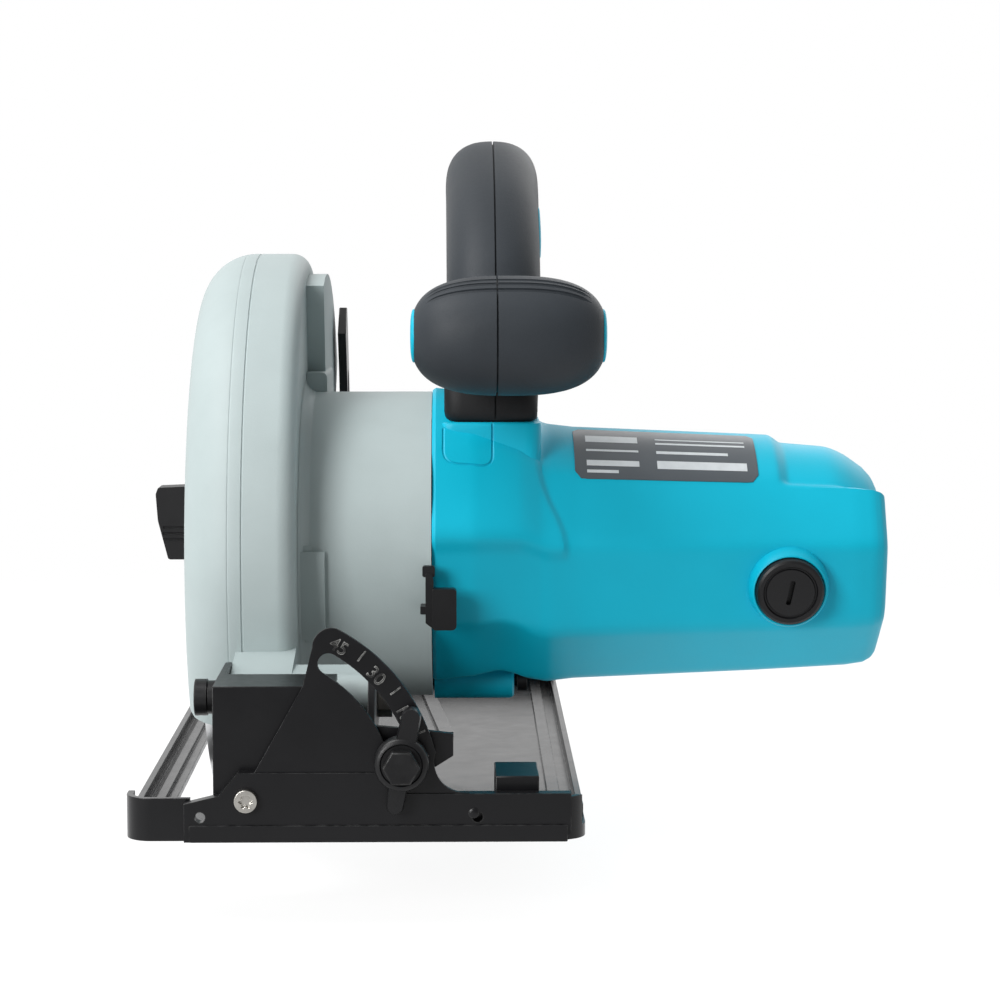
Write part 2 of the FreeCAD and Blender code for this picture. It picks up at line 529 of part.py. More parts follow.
def make_drive():
    spindle, motor = (S.spindle_y, S.spindle_z), (motor_y, motor_z)
    gear_right = S.gear_left + S.gear_wide
    gear = involute_gear(
        S.gear_teeth, -0.35, 0.14, S.gear_left, gear_right, spindle, 180 + 180 / S.gear_teeth)
    gear = gear.cut(disc("X", spindle, S.spindle_rad + S.snug, S.gear_left - 1, gear_right + 1))
    keep("drive_gear", shaped("drive_gear", gear))

    blade_left, blade_right = S.blade_x - S.blade_thick / 2, S.blade_x + S.blade_thick / 2
    face = "blade_x - blade_thick / 2"
    outline, gullet = [], S.blade_rad - 9
    for tooth in range(int(S.teeth)):
        start = 360 * tooth / S.teeth
        for rad, step in ((S.blade_rad, 0), (S.blade_rad - 1.6, 3.4), (gullet + 2, 6.5), (gullet, 9),
                          (gullet + 1.5, 12.6), (S.blade_rad - 2.5, 14.4)):
            outline.append(polar(spindle, rad, start + step * 24 / S.teeth))
    blade = flat("X", outline, blade_left, blade_right)
    blade = blade.cut(disc("X", spindle, S.blade_bore, blade_left - 1, blade_right + 1))
    for turn in range(4):
        end = polar(spindle, S.blade_rad - 14, 90 * turn + 20)
        blade = blade.cut(disc("X", end, 2.2, blade_left - 1, blade_right + 1))
    keep("saw_blade", shaped("saw_blade", blade))

    flange_end = "case_right - 9.6"
    keep("inner_flange", cut(
        "inner_flange",
        fuse("inner_flange_block",
             rod("flange_face", "X", 22, ("blade_x + blade_thick / 2", "blade_x + 5"), SPINDLE),
             rod("flange_seat", "X", "blade_bore - snug", (face, "blade_x + 1"), SPINDLE),
             rod("flange_hub", "X", 10, ("blade_x + 4", flange_end), SPINDLE)),
        rod("flange_bore", "X", "spindle_rad + snug", ("blade_x - 5", f"{flange_end} + 1"), SPINDLE),
    ))
    keep("outer_flange", cut(
        "outer_flange",
        cone("outer_flange_block", "X", 17, 22, (f"{face} - 4", face), SPINDLE),
        rod("outer_flange_bore", "X", "4 + snug", ("blade_x - 8", "blade_x"), SPINDLE),
    ))
    keep("blade_bolt", fuse(
        "blade_bolt",
        nut("bolt_head", "X", 7.5, (f"{face} - 10", f"{face} - 5.2"), SPINDLE),
        rod("bolt_washer", "X", 10, (f"{face} - 5.4", f"{face} - 4"), SPINDLE),
        rod("bolt_shank", "X", 4, (f"{face} - 5", "blade_x + 14"), SPINDLE),
    ))
    keep("spindle", cut(
        "spindle",
        fuse("spindle_bar",
             rod("spindle_shaft", "X", "spindle_rad", (face, "neck_right - 8"), SPINDLE),
             rod("spindle_tail", "X", 5, ("neck_right - 9", "neck_right - 0.5"), SPINDLE),
             rod("spindle_shoulder", "X", 8, ("case_right + 6.5", "gear_left"), SPINDLE)),
        rod("spindle_thread", "X", "4 + snug", ("blade_x - 5", "blade_x + 18"), SPINDLE),
    ))
    pinion = involute_gear(S.pinion_teeth, 0.35, 0.14, S.gear_left - 1.5, gear_right + 0.6, motor, 0)
    shaft = pinion.fuse([
        disc("X", motor, 4.2, gear_right + 0.5, S.neck_right - 8),
        disc("X", motor, S.shaft_rad, S.neck_right - 8, 156), disc("X", motor, 4, 156, 165),
    ]).removeSplitter()
    keep("armature_shaft", shaped("armature_shaft", shaft))
    bore = "shaft_rad + snug"
    keep("armature_core", cut(
        "armature_core",
        fuse("core_block", rod("core_stack", "X", "core_rad", (74, 116), MOTOR),
             rod("winding_front", "X", "core_rad - 4", (66, 74), MOTOR),
             rod("winding_rear", "X", "core_rad - 4", (116, 127), MOTOR)),
        rod("core_bore", "X", bore, (60, 130), MOTOR),
    ))
    keep("commutator", cut(
        "commutator", rod("commutator_bar", "X", 11.8, (131, 150), MOTOR),
        rod("commutator_bore", "X", bore, (130, 151), MOTOR),
    ))
    fan = disc("X", motor, 36, 34, 36).fuse(disc("X", motor, 9, 34, 50))
    blades = []
    for turn in range(11):
        vane = Part.makeBox(14, 27.5, 1.6, Vector(35.5, motor_y + 7.5, motor_z - 0.8))
        vane.rotate(Vector(0, motor_y, motor_z), Vector(1, 0, 0), 360 * turn / 11)
        blades.append(vane)
    fan = fan.fuse(blades).cut(disc("X", motor, S.shaft_rad + S.snug, 30, 52)).removeSplitter()
    keep("cooling_fan", shaped("cooling_fan", fan))


def ring(name, inner, outer, span, centre):
    """A bearing, bush or plain ring along X."""
    return keep(name, cut(
        name, rod(name + "_outside", "X", outer, span, centre),
        rod(name + "_bore", "X", inner, (f"{span[0]} - 1", f"{span[1]} + 1"), centre),
    ))


# ---------------------------------------------------------------- gear housing and motor
def make_gear_housing():
    wall = "case_right + 6"
    block = fuse(
        "neck_block", rod("neck_round", "X", "neck_rad", ("case_right", "neck_right"), NECK),
        rod("neck_gear", "X", "gear_teeth * module_size / 2 + 8", ("case_right", "neck_right"), SPINDLE),
        rod("neck_spigot", "X", "spigot_rad", ("case_right - 9", "case_right + 1"), SPINDLE),
    )
    screws = [screw_at(angle) for angle in SCREW_ANGLES]
    bores = [rod(f"neck_screw_bore_{i}", "X", "2.2 + snug", ("neck_right - 20", "neck_right + 1"), at)
             for i, at in enumerate(screws)]
    pin = rod("lock_pin_bore", "Y", "2.2 + running", (f"{MOTOR_Y} - 60", f"{MOTOR_Y} - 30"),
              ("neck_right - 5.5", "spindle_z - 12"))
    keep("gear_housing", cut(
        "gear_housing", block, rod("neck_cavity", "X", "neck_bore", (wall, "neck_right + 1"), NECK),
        rod("gear_cavity", "X", "gear_teeth * module_size / 2 + 4", (wall, "neck_right + 1"), SPINDLE),
        rod("bearing_seat", "X", "bearing_rad + snug", ("case_right - 10", "case_right + 7"), SPINDLE),
        pin, *bores,
    ))
    plate_left = "neck_right - 8"
    plate = fuse(
        "bearing_plate_block",
        rod("plate_round", "X", "neck_bore - snug", (plate_left, "neck_right"), NECK),
        rod(
            "plate_gear", "X", "gear_teeth * module_size / 2 + 4 - snug",
            (plate_left, "neck_right"), SPINDLE,
        ),
    )
    keep("bearing_plate", cut(
        "bearing_plate", plate,
        rod("plate_bearing", "X", "13 + snug", (f"{plate_left} - 1", "neck_right + 1"), MOTOR),
        rod("plate_bush", "X", "8 + snug", (f"{plate_left} - 1", "neck_right + 1"), SPINDLE),
    ))
    ring(
        "spindle_bearing", "spindle_rad + running", "bearing_rad",
        ("case_right - 6", "case_right + 6"), SPINDLE)
    ring(
        "bearing_retainer", "spindle_rad + 1", "bearing_rad",
        ("case_right - 9", "case_right - 6"), SPINDLE)
    ring("spindle_bush", "5 + running", 8, (plate_left, "neck_right"), SPINDLE)
    ring("armature_front_bearing", "shaft_rad + running", 13, (plate_left, "neck_right"), MOTOR)
    heads = []
    for i, at in enumerate(screws):
        heads.append(fuse(
            f"housing_screw_{i}",
            rod(f"screw_shank_{i}", "X", 2.2, ("neck_right - 18", "collar_right"), at),
            rod(f"screw_head_{i}", "X", 3.8, ("collar_right", "collar_right + 3.4"), at),
        ))
    group = doc.addObject("Part::Compound", "housing_screws")
    group.Links = heads
    keep("housing_screws", group)


SCREW_ANGLES = (270, 50, 110)


def screw_at(angle):
    """Where a housing screw stands: on a circle inside the collar's rim."""
    return (f"{NECK[0]} + (neck_rad - 4.4) * cos({angle})", f"{NECK[1]} + (neck_rad - 4.4) * sin({angle})")


def radial(shape, angle):
    """Turn a piece that was made along +Z above the motor's axis to an angle from the front."""
    shape.rotate(Vector(0, motor_y, motor_z), Vector(1, 0, 0), angle)
    return shape


def upward(rad, low, high):
    return Part.makeCylinder(rad, high - low, Vector(S.brush_x, motor_y, motor_z + low), Vector(0, 0, 1))


def up_block(wide, deep, low, high):
    corner = Vector(S.brush_x - wide / 2, motor_y - deep / 2, motor_z + low)
    return Part.makeBox(wide, deep, high - low, corner)


def make_motor():
    motor, neck = (motor_y, motor_z), (motor_y, motor_z + S.neck_rise)
    way = Vector(1, 0, 0)

    def taper(rad, end_rad, low, high):
        return Part.makeCone(rad, end_rad, high - low, point("X", motor, low), way)

    fronts = [90 + S.brush_angle, 270 + S.brush_angle]
    body = disc("X", neck, S.neck_rad, S.neck_right, S.collar_right)
    body = body.fuse([
        taper(S.body_rad + 0.8, S.body_end_rad, S.neck_right + 1, S.taper_x),
        taper(S.body_end_rad, S.cap_rad, S.taper_x, S.motor_right),
        *[radial(upward(S.brush_cap_rad + 1.6, 20, S.body_end_rad + 4.5), angle) for angle in fronts],
    ])
    wall = S.motor_wall
    end = S.taper_x - 3
    front_bore = disc("X", motor, S.body_rad - wall - 2.2, S.neck_right - 1, S.collar_right + 10)
    hollow = front_bore.fuse([
        taper(S.body_rad - wall - 1, S.body_end_rad - wall, S.collar_right + 6, end),
        taper(S.body_end_rad - wall, S.cap_rad - wall, end, S.motor_right - wall),
    ])
    body = body.cut(hollow)
    boss = disc("X", motor, 15, 158, S.motor_right - wall + 1)
    body = body.fuse(boss).cut(disc("X", motor, 11 + S.snug, 157, 165.5))
    body = body.cut([radial(upward(7.4 + S.snug, 12, 60), angle) for angle in fronts])
    body = body.cut([
        radial(upward(S.brush_cap_rad + S.snug, S.body_end_rad + 2, 60), angle) for angle in fronts])
    vents = []
    for turn in range(12):
        vent = Part.makeBox(20, 3, 8, Vector(S.motor_right - 10, motor_y - 1.5, motor_z + 16.5))
        vent.rotate(Vector(0, motor_y, motor_z), way, 30 * turn + 15)
        vents.append(vent)
    body = body.cut(vents)
    for angle in SCREW_ANGLES:
        at = polar(neck, S.neck_rad - 4.4, angle)
        body = body.cut(disc("X", at, 2.2 + S.snug, S.neck_right - 1, S.collar_right + 1))
        body = body.cut(disc("X", at, 3.8 + S.snug, S.collar_right, S.collar_right + 3.4 + S.snug))
    keep("motor_housing", shaped("motor_housing", body.removeSplitter()))

    holders, brushes, caps = [], [], []
    for angle in fronts:
        channel = up_block(6.6, 9.6, 10, S.body_end_rad)
        holders.append(radial(upward(7.4, 14, S.body_end_rad - 1).cut(channel), angle))
        brushes.append(radial(up_block(6.5, 9.5, 11.9, 27), angle))
        cap = upward(S.brush_cap_rad, S.body_end_rad + 2, S.body_end_rad + 6)
        cap = cap.fuse(upward(7.3, S.body_end_rad - 1, S.body_end_rad + 3))
        slot = up_block(2, 14, S.body_end_rad + 4.8, S.body_end_rad + 7)
        caps.append(radial(cap.cut(slot).removeSplitter(), angle))
    for name, solids in (("brush_holders", holders), ("carbon_brushes", brushes), ("brush_caps", caps)):
        keep(name, shaped(name, Part.makeCompound(solids)))

    ring("stator_core", "core_rad + air_gap", "body_end_rad - 1.2", (73, 117), MOTOR)
    coils = []
    for low in (66, 117):
        coils.append(disc("X", motor, 34.5, low, low + 7).cut(disc("X", motor, 27.5, low - 1, low + 8)))
    keep("field_coils", shaped("field_coils", Part.makeCompound(coils)))
    ring("air_baffle", 33, "body_rad - motor_wall - 2.2 - snug", (54, 56), MOTOR)
    ring("armature_rear_bearing", "4 + running", 11, (158, 165), MOTOR)
    label = band("X", motor, S.body_rad - 0.2, S.body_rad + 0.9, 98, 138, 69, 130)
    label = label.cut(taper(
        S.body_rad + 0.8 + S.snug, S.body_end_rad + S.snug, S.neck_right + 1, S.taper_x))
    keep("label_plate", shaped("label_plate", label))


# ---------------------------------------------------------------- handle
OUTSIDE = [
    (-58, 104), (-64, 124), (-80, 138), (-84, 156), (-64, 171), (-35, 186), (-5, 204), (28, 213.4),
    (58, 207), (88, 184), (112, 152), (126, 118), (125, 94), (108, 80), (80, 75), (50, 70), (25, 70),
    (-10, 78), (-40, 92),
]
FINGER_GAP = [
    (-30, 112), (-36, 134), (-24, 156), (0, 172), (28, 180), (52, 174), (72, 154), (86, 128),
    (87, 112), (72, 104), (50, 103), (30, 96), (0, 96), (-20, 102),
]
LOCK_BUTTON = (88, 157)
SWITCH = (67.5, 180)
HANDLE_SCREWS = [(-54, 152), (-6, 188), (108, 132), (98, 91)]


def sloped(wide, along, low, high):
    """A block on the switch's slope: along is half its length, low and high are across the grip."""
    shape = Part.makeBox(wide, 2 * along, high - low, Vector(S.handle_split - wide / 2, -along, low))
    shape.rotate(Vector(), Vector(1, 0, 0), -45)
    shape.translate(Vector(0, *SWITCH))
    return shape


def make_handle():
    neck, motor = (motor_y, motor_z + S.neck_rise), (motor_y, motor_z)
    pommel = (S.pommel_y, S.pommel_z)
    gland_z, gland_y = 99, 108
    low, high = S.handle_left, S.handle_right
    grip = loop("X", OUTSIDE, low, high).cut(loop("X", FINGER_GAP, low - 1, high + 1))
    grip = grip.fuse(disc("X", pommel, S.pommel_rad, S.pommel_left + S.insert, S.pommel_right - S.insert))
    seat = disc("X", neck, S.neck_rad + S.snug, 0, S.collar_right + 5)
    seat = seat.fuse(disc("X", motor, S.body_rad + 1.5, S.collar_right, high + 5))
    grip = grip.cut(seat)
    gland_way = Vector(0, 1, 0)
    grip = grip.cut(Part.makeCylinder(
        S.gland_rad + S.snug, 40, Vector(S.handle_split, gland_y, gland_z), gland_way))
    grip = grip.cut([sloped(16.4, 14.2, -4.2, 10.2), sloped(14.6, 12.3, -40, -4)])
    grip = grip.cut(disc("X", LOCK_BUTTON, 4.5 + S.running, 0, 90))
    screws = []
    for at in HANDLE_SCREWS:
        grip = grip.cut([disc("X", at, 2 + S.snug, 30, 60), disc("X", at, 3.8, 53, 90)])
        screws.append(disc("X", at, 2, 32, 53.5).fuse(disc("X", at, 3.6, 53, 56)).removeSplitter())
    halves = (("handle_left_half", (0, S.handle_split)), ("handle_right_half", (S.handle_split, 120)))
    for name, span in halves:
        side = Part.makeBox(span[1] - span[0], 400, 400, Vector(span[0], -200, 0))
        half = grip.common(side).removeSplitter()
        keep(name, shaped(name, Part.makeCompound([s for s in half.Solids if s.Volume > 2000])))
    keep("handle_screws", shaped("handle_screws", Part.makeCompound(screws)))
    ends = [disc("X", pommel, S.pommel_rad - 5, S.pommel_left, S.pommel_left + S.insert),
            disc("X", pommel, S.pommel_rad - 5, S.pommel_right - S.insert, S.pommel_right)]
    keep("pommel_inserts", shaped("pommel_inserts", Part.makeCompound(ends)))
    keep("switch_body", shaped("switch_body", sloped(16, 14, -4, 10)))
    trigger = sloped(14, 12, -24, -9.5)
    keep("trigger", shaped("trigger", trigger))
    button = rod("lock_off_button", "X", 4.5, ("handle_left - 2.6", "handle_right"), LOCK_BUTTON)
    keep("lock_off_button", button)
    centre = ("handle_split", gland_z)
    keep("cord_gland", cut(
        "cord_gland", rod("gland_sleeve", "Y", "gland_rad", (gland_y, 137), centre),
        rod("gland_bore", "Y", "cord_rad", (gland_y - 1, 138), centre),
    ))


# ---------------------------------------------------------------- depth lock and shaft lock
def make_controls():
    lock = polar((S.depth_y, S.depth_z), S.guide_reach, S.lock_angle)
    guide_right = S.guide_left + S.guide_thick
    bolt = disc("X", lock, S.bolt_rad, S.case_right - 3, guide_right + 8).fuse(
        disc("X", lock, 5, guide_right + 7.4, guide_right + 10.6))
    keep("depth_lock_bolt", shaped("depth_lock_bolt", bolt.removeSplitter()))
    low, high = guide_right + S.free, guide_right + 7.1
    lean = 35
    lever = disc("X", lock, 8.5, low, high)
    tip = polar(lock, 46, lean)
    corners = ((lock, -90), (lock, 90), (tip, 90), (tip, -90))
    across = [polar(centre, 5, lean + turn) for centre, turn in corners]
    lever = lever.fuse([flat("X", across, low + 1, high - 1), disc("X", tip, 6.5, low + 1, high)])
    lever = lever.cut(disc("X", lock, S.bolt_rad + S.running, low - 1, high + 1)).removeSplitter()
    keep("depth_lever", shaped("depth_lever", lever))

    pin_z = S.spindle_z - 12
    face = motor_y - S.neck_rad
    pin_x = S.neck_right - 5.5
    button = Part.makeBox(15.6, 2.6, 21, Vector(S.neck_right - 7.5, face - 6.8, pin_z - 10.5))
    button = button.fuse(Part.makeCylinder(2.2, 12, Vector(pin_x, face - 5, pin_z), Vector(0, 1, 0)))
    keep("shaft_lock", shaped("shaft_lock", button.removeSplitter()))


make_base()
make_tilting_parts()
make_case()
make_drive()
make_gear_housing()
make_motor()
make_handle()
make_controls()
doc.recompute()

for obj in doc.Objects:
    if "Invalid" in obj.State or "Error" in obj.State:
        raise RuntimeError(f"{obj.Name} did not build: {obj.State}")
os.makedirs("parts", exist_ok=True)
for name, obj in pieces.items():
    if obj.Shape.isNull() or not obj.Shape.isValid() or not obj.Shape.Solids:
        raise RuntimeError(f"{name} has no valid solid")
    obj.Shape.exportStep(os.path.join("parts", name + ".step"))
    print(f"{name:26s} {len(obj.Shape.Solids)} solid(s) {obj.Shape.Volume / 1000:9.2f} cm3")
print(len(pieces), "pieces")
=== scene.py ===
import json
import logging
import math
from collections.abc import Callable, Sequence
from dataclasses import dataclass, field
from enum import Enum

import bmesh
import bpy
import numpy as np
from mathutils import Matrix, Vector


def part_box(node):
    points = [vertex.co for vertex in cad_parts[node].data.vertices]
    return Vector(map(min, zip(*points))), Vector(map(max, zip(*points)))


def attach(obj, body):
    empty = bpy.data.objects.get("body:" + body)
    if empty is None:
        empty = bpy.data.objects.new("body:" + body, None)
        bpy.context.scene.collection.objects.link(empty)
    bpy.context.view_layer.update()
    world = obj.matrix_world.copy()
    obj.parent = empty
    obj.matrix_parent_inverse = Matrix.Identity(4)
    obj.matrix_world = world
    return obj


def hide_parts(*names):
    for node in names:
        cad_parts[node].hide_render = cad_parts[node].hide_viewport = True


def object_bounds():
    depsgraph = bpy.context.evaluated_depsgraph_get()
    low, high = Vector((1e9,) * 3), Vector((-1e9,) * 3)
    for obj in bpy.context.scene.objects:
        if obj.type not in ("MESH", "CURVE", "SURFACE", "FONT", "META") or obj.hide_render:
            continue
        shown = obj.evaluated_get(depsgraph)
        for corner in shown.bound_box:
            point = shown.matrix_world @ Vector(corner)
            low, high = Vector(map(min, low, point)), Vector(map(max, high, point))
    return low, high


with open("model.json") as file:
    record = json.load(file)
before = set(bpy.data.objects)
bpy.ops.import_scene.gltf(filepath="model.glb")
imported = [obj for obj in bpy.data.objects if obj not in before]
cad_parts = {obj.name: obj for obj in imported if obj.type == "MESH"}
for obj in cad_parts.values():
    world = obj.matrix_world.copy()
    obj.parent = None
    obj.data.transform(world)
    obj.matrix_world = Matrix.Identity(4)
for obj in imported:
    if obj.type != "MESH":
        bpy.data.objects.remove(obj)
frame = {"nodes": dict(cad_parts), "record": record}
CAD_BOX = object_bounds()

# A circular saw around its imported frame. Sizes are in millimetres and become metres when a
# mesh is made. +X points to the motor's end, +Y to the rear, +Z up.

Array = np.ndarray
Pair = tuple[float, float]
Triple = tuple[float, float, float]
Colour = tuple[float, float, float]
MM = 0.001
TURN = 2 * math.pi
MERGE = 0.001  # Points nearer than this are one point.
FLAT_ANGLE = 0.6  # Degrees; faces closer than this to level with each other are one face.
EDGE_GAIN = 6.0  # How fast the mask of an edge rises where its normals part.
log = logging.getLogger("saw")


# ---------------------------------------------------------------- shader maths

def operator(operation: str, swapped: bool = False) -> Callable[["Wire", "Wire | float"], "Wire"]:
    """Makes a method that adds a Math node for one of Python's operators.

    Args:
        operation: the node's operation.
        swapped: True puts the other value first, for a reflected operator.

    Returns:
        The method.
    """
    def method(self: "Wire", other: "Wire | float") -> "Wire":
        """The operator's value."""
        return self.math(operation, *((other, self) if swapped else (self, other)))

    return method


class Wire:
    """A value in a shader. Python's operators on it add Math nodes."""

    def __init__(self, shade: "Shade", socket: bpy.types.NodeSocket) -> None:
        """Keeps the shader and the socket that carries the value."""
        self.shade = shade
        self.socket = socket

    def math(self, operation: str, *values: "Wire | float", clamp: bool = False) -> "Wire":
        """A Math node.

        Args:
            operation: the node's operation.
            values: its inputs in order.
            clamp: True keeps the result from 0 to 1.

        Returns:
            The node's value.
        """
        settings = {"operation": operation, "use_clamp": clamp}
        return self.shade.node("ShaderNodeMath", settings, dict(enumerate(values)))

    __add__ = __radd__ = operator("ADD")
    __sub__ = operator("SUBTRACT")
    __rsub__ = operator("SUBTRACT", True)
    __mul__ = __rmul__ = operator("MULTIPLY")
    __truediv__ = operator("DIVIDE")
    __pow__ = operator("POWER")

    def clamped(self) -> "Wire":
        """The value kept from 0 to 1."""
        return self.math("ADD", self, 0.0, clamp=True)

    def band(self, low: float, high: float) -> "Wire":
        """0 below low and 1 above high, straight between."""
        return ((self - low) / (high - low)).clamped()


class Shade:
    """One material's node tree."""

    def __init__(self, name: str) -> None:
        """Starts a material.

        Args:
            name: its name.
        """
        self.material = bpy.data.materials.new(name)
        self.material.use_nodes = True
        self.tree = self.material.node_tree
        self.surface = self.tree.nodes["Principled BSDF"]

    def node(self, kind: str, settings: dict, values: dict, output: int | str = 0) -> Wire:
        """Any node of the tree.

        Args:
            kind: the node's type.
            settings: its properties; "stops" gives a ramp's (place, colour) pairs.
            values: number, colour or Wire for each input, by index or name.
            output: the output to hand back.

        Returns:
            That output.
        """
        made = self.tree.nodes.new(kind)
        for key, value in settings.items():
            if key == "stops":
                ramp = made.color_ramp
                for _ in range(len(value) - 2):
                    ramp.elements.new(0.5)
                for stop, (place, colour) in zip(ramp.elements, value):
                    stop.position, stop.color = place, (*colour, 1)
            else:
                setattr(made, key, value)
        for key, value in values.items():
            if isinstance(value, Wire):
                self.tree.links.new(value.socket, made.inputs[key])
            else:
                made.inputs[key].default_value = value
        return Wire(self, made.outputs[output])

    def place(self) -> Wire:
        """Object coordinates, in metres."""
        return self.node("ShaderNodeTexCoord", {}, {}, "Object")

    def scaled(self, vector: Wire, scale: Sequence[float]) -> Wire:
        """A vector times one number per axis."""
        return self.node("ShaderNodeVectorMath", {"operation": "MULTIPLY"},
                         {0: vector, 1: tuple(scale)})

    def part(self, vector: Wire, axis: str) -> Wire:
        """One of a vector's three numbers."""
        return self.node("ShaderNodeSeparateXYZ", {}, {0: vector}, axis)

    def noise(self, vector: Wire, size: float, detail: float = 3.0) -> Wire:
        """Noise from 0 to 1 whose lumps are about size millimetres across."""
        return self.node("ShaderNodeTexNoise", {},
                         {"Vector": vector, "Scale": 1 / (size * MM), "Detail": detail})

    def cells(self, vector: Wire, size: float) -> Wire:
        """Distance to the nearest of scattered points about size millimetres apart."""
        return self.node("ShaderNodeTexVoronoi", {}, {"Vector": vector, "Scale": 1 / (size * MM)})

    def mix(self, share: "Wire | float", low: "Wire | Colour", high: "Wire | Colour") -> Wire:
        """A colour between two, by share."""
        ends = [one if isinstance(one, Wire) else (*one, 1) for one in (low, high)]
        return self.node("ShaderNodeMix", {"data_type": "RGBA", "clamp_factor": True},
                         {0: share, 6: ends[0], 7: ends[1]}, 2)

    def bump(self, height: Wire, distance: float) -> Wire:
        """A normal from a height of 0 to 1, distance millimetres high."""
        return self.node("ShaderNodeBump", {},
                         {"Height": height, "Distance": distance * MM, "Strength": 1.0})

    def edge(self, radius: float) -> Wire:
        """A mask of the edges, from how far a rounded normal parts from the true one.

        Args:
            radius: how far from an edge it reaches, in millimetres.

        Returns:
            1 on the edges, 0 on the flats.
        """
        soft = self.node("ShaderNodeBevel", {"samples": 4}, {"Radius": radius * MM})
        flat = self.node("ShaderNodeNewGeometry", {}, {}, "Normal")
        along = self.node("ShaderNodeVectorMath", {"operation": "DOT_PRODUCT"},
                          {0: soft, 1: flat}, "Value")
        return ((1.0 - along) * EDGE_GAIN).clamped()

    def feed(self, values: dict[str, "Wire | float | Colour"]) -> None:
        """Sets or links the surface shader's sockets.

        Args:
            values: number, colour or Wire for each socket's name.
        """
        for key, value in values.items():
            socket = self.surface.inputs[key]
            if isinstance(value, Wire):
                self.tree.links.new(value.socket, socket)
            elif isinstance(value, tuple):
                socket.default_value = (*value, 1)
            else:
                socket.default_value = value


class Texture(Enum):
    """How a surface was made, which sets its fine relief."""

    MOULDED = "fine pits from the mould"
    CAST = "paint over a cast skin"
    ENAMEL = "smooth stoved enamel"
    GROUND = "fine arcs about the spindle"
    DRAWN = "lines along X"
    STACKED = "sheets stacked along X"
    WOUND = "wire turns along X"
    PLATED = "bright plate over a rolled skin"


STRETCH: dict[Texture, Triple] = {Texture.DRAWN: (0.08, 1, 1), Texture.PLATED: (1, 0.35, 1)}
# What all finishes share: the noise band of the mottle, how far relief darkens, how much the
# mottle and the relief add to the roughness, and the size, band and share of the edge mask,
# which paints rubbed wear, and a painted highlight on enamel_painted_glint.
MOTTLE_BAND: Pair = (0.3, 0.7)
RELIEF_SHADE = 0.8
MOTTLE_ROUGH, RELIEF_ROUGH, WEAR_GLINT_ROUGH, COAT_ROUGH = 0.10, 0.08, 0.10, 0.12
WEAR_GLINT_EDGE, WEAR_GLINT_SIZE, WEAR_GLINT_SHARE = 0.5, 2.6, 0.75
WEAR_GLINT_BAND: Pair = (0.42, 0.62)


@dataclass(frozen=True)
class Finish:
    """A finish: its colour, gloss and relief.

    Sizes are in millimetres; mottle is the share by which the colour changes, and centre is
    the spindle's Y and Z.
    """

    name: str
    colour: Colour
    rough: float = 0.45
    metal: float = 0.0
    coat: float = 0.0
    texture: Texture = Texture.MOULDED
    mottle: float = 0.05
    mottle_size: float = 14.0
    grain: float = 0.03
    grain_size: float = 0.7
    # Edge colour: rubbed wear on most finishes, a painted highlight on enamel_painted_glint.
    wear: Colour | None = None
    specular: float = 0.5
    centre: Pair = (15.0, 71.7)

    def relief(self, shade: Shade, where: Wire) -> Wire:
        """Height of the fine relief, from 0 to 1.

        Args:
            shade: the material's tree.
            where: object coordinates.

        Returns:
            The height.
        """
        size, texture = self.grain_size, self.texture
        if texture is Texture.MOULDED:
            return (shade.cells(where, size) * 0.6 + shade.noise(where, size * 2.3) * 0.4).clamped()
        if texture is Texture.CAST:
            return shade.noise(where, size) * 0.5 + shade.noise(where, size * 5.0) * 0.5
        if texture is Texture.GROUND:
            aside = shade.part(where, "Y") - self.centre[0] * MM
            above = shade.part(where, "Z") - self.centre[1] * MM
            reach = (aside * aside + above * above) ** 0.5
            ring = shade.node("ShaderNodeCombineXYZ", {}, {0: reach * 9.0, 1: aside, 2: above})
            return shade.noise(ring, size * 4.0)
        if texture in (Texture.STACKED, Texture.WOUND):
            along = (shade.part(where, "X") if texture is Texture.STACKED
                     else shade.part(where, "Y") + shade.part(where, "Z"))
            angle = along * (TURN / (size * MM))
            return angle.math("SINE", angle) * 0.5 + 0.5
        if texture in STRETCH:
            return shade.noise(shade.scaled(where, STRETCH[texture]), size)
        return shade.noise(where, size * 3.0)

    def material(self) -> bpy.types.Material:
        """The finish as a material.

        Returns:
            The material.
        """
        shade = Shade(self.name)
        where = shade.place()
        broad = shade.noise(where, self.mottle_size)
        fine = self.relief(shade, where)
        dark = tuple(part * (1 - self.mottle) for part in self.colour)
        light = tuple(min(1.0, part * (1 + self.mottle)) for part in self.colour)
        colour = shade.mix(broad.band(*MOTTLE_BAND), dark, light)
        colour = shade.mix(fine * (self.mottle * RELIEF_SHADE), colour, (0.0, 0.0, 0.0))
        rough = (broad * MOTTLE_ROUGH + fine * RELIEF_ROUGH
                 + (self.rough - (MOTTLE_ROUGH + RELIEF_ROUGH) / 2))
        # Edge mask in the wear colour: rubbed wear on black_steel, lighter edges on the black
        # enamels, and on enamel_painted_glint a painted highlight: pale edges that stand in for
        # glints.
        if self.wear:
            rubbed_and_glint = shade.edge(WEAR_GLINT_EDGE) * shade.noise(where, WEAR_GLINT_SIZE).band(*WEAR_GLINT_BAND)
            colour = shade.mix(rubbed_and_glint * WEAR_GLINT_SHARE, colour, self.wear)
            rough = rough + rubbed_and_glint * WEAR_GLINT_ROUGH
        shade.feed({"Base Color": colour, "Roughness": rough.clamped(), "Metallic": self.metal,
                    "Coat Weight": self.coat, "Coat Roughness": COAT_ROUGH,
                    "Specular IOR Level": self.specular, "Normal": shade.bump(fine, self.grain)})
        return shade.material


